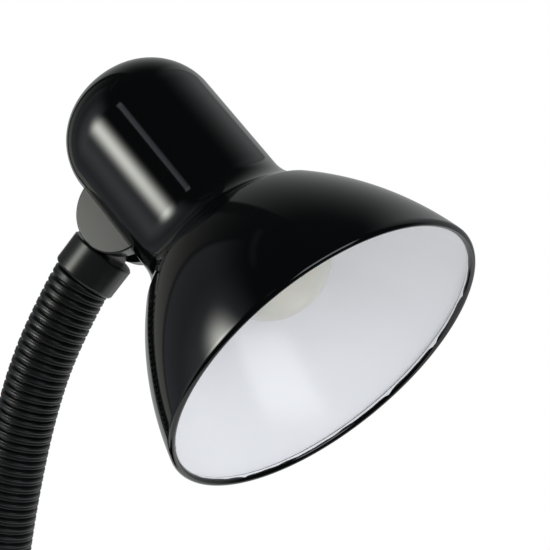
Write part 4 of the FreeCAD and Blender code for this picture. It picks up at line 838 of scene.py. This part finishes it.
panels = [
    panel(187, 22.0, -60, 30, 1.0, 6, 26, 0.45, "f2f6f4"),
    panel(150, 7.5, -70, 10, 1.5, 6, 34, 0.3, "f4f4ea"),
    panel(115, 26.0, -70, 36, 1.5, 8, 10, 0.18, "dfe6f4"),
    panel(102, 12.0, -24, 30, 14.0, 14, 16, 0.5, "eef0f2"),
    panel(70, 5.0, 48, 54.5, 3.0, 1.0, 1.0, 1.1, "f0f4ff"),
    panel(136, 13.0, 46, 48, 3.0, 1.5, 1.5, 0.06, "f0f4ff"),
    panel(-122, 30.0, -70, 46, 10.0, 10, 24, 0.45, "f4f6f8"),
]
light = panels[0]
for item in panels[1:]:
    light = vector_calc(tree, "ADD", light, item)
light = vector_calc(tree, "ADD", light, DARK_ROOM)
mirrored = add(tree, "ShaderNodeBackground", {"Color": light, "Strength": 1.0})
soft = add(tree, "ShaderNodeBackground", {"Color": (0.97, 0.98, 1.0, 1), "Strength": 0.82})
white = add(tree, "ShaderNodeBackground", {"Color": (1, 1, 1, 1), "Strength": 1.0})
seen = add(tree, "ShaderNodeMixShader", {0: ray["Is Glossy Ray"], 1: soft.outputs[0], 2: mirrored.outputs[0]})
straight = calc(tree, "MAXIMUM", ray["Is Camera Ray"], ray["Is Transmission Ray"])
plain = add(tree, "ShaderNodeMixShader", {0: straight, 1: seen.outputs[0], 2: white.outputs[0]})
add(tree, "ShaderNodeOutputWorld", {"Surface": plain.outputs[0]})
print("panels in the studio:", len(panels))

# %% [markdown]
# The camera stands where the photograph's did: the ellipse of the rim, the bell's outline and the
# ribs of the sleeve give its height, its bearing and its long lens. Its place is measured from the
# pivot of the head, in millimetres.

# %% The camera
CAMERA_PLACE = Vector((-341.4, -2403.4, 786.9))
VIEW = Vector((0.15607, 0.93539, -0.31730)).normalized()
RIGHT = Vector((0.98636, -0.16458, 0)).normalized()
camera_data = bpy.data.cameras.new("camera")
camera_data.sensor_width = 36
camera_data.lens = 409.92
camera_data.clip_end = 20
camera = new_object("camera", camera_data)
camera_turn = Matrix((RIGHT, RIGHT.cross(VIEW), -VIEW)).transposed().to_4x4()
camera.matrix_world = Matrix.Translation(pivot + CAMERA_PLACE * MM) @ camera_turn
bpy.context.scene.camera = camera
print("camera at, m:", [round(value, 3) for value in camera.matrix_world.translation])

# %% [markdown]
# Two real lights stand in the studio. A small softbox close to the left of the lamp draws the long
# soft strip down the barrel, the spot on the bell and the grey of the knuckle's flat face. It lights
# only what mirrors it, and no dull surface. A wide cool window to the right of the camera reaches
# into the shade.

# %% The softbox and the window


def soft_light(name, place, target, width, height, power, tint, edge, fall=1.0):
    """An area light, aimed at a target, whose brightness fades towards its edges."""
    data = bpy.data.lights.new(name, "AREA")
    data.shape = "RECTANGLE"
    data.size, data.size_y, data.energy = width, height, power
    data.use_nodes = True
    tree = data.node_tree
    tree.nodes.clear()
    spot = add(tree, "ShaderNodeNewGeometry").outputs["Parametric"]
    sides = add(tree, "ShaderNodeSeparateXYZ", {0: spot}).outputs
    masks = []
    for side in ("X", "Y"):
        away = calc(tree, "ABSOLUTE", calc(tree, "SUBTRACT", sides[side], 0.5))
        masks.append(ramp(tree, away, 0.5 - edge, 0.5, 1.0, 0.0, kind="SMOOTHSTEP"))
    mask = calc(tree, "POWER", calc(tree, "MULTIPLY", *masks), fall)
    glow = add(tree, "ShaderNodeEmission", {"Color": linear(tint), "Strength": mask})
    add(tree, "ShaderNodeOutputLight", {0: glow.outputs[0]})
    light = new_object(name, data)
    light.location = place
    light.rotation_euler = (Vector(target) - Vector(place)).to_track_quat("-Z", "Y").to_euler()
    return light


softbox = soft_light("softbox", (-0.38, -0.06, 0.5), (-0.1, -0.03, 0.42), 0.42, 0.32, 5.2, "fdfff6", 0.5, 2.0)
softbox.visible_diffuse = False
soft_light("window", (0.676, -1.218, 1.087), (0.06, -0.06, 0.36), 1.2, 0.9, 10.6, "f6f8ff", 0.15)
print("lights:", [item.name for item in bpy.data.lights])

# %% [markdown]
# The picture keeps its plain values: what is white in the studio is white on the page.

# %% Picture settings
bpy.context.scene.view_settings.view_transform = "Standard"
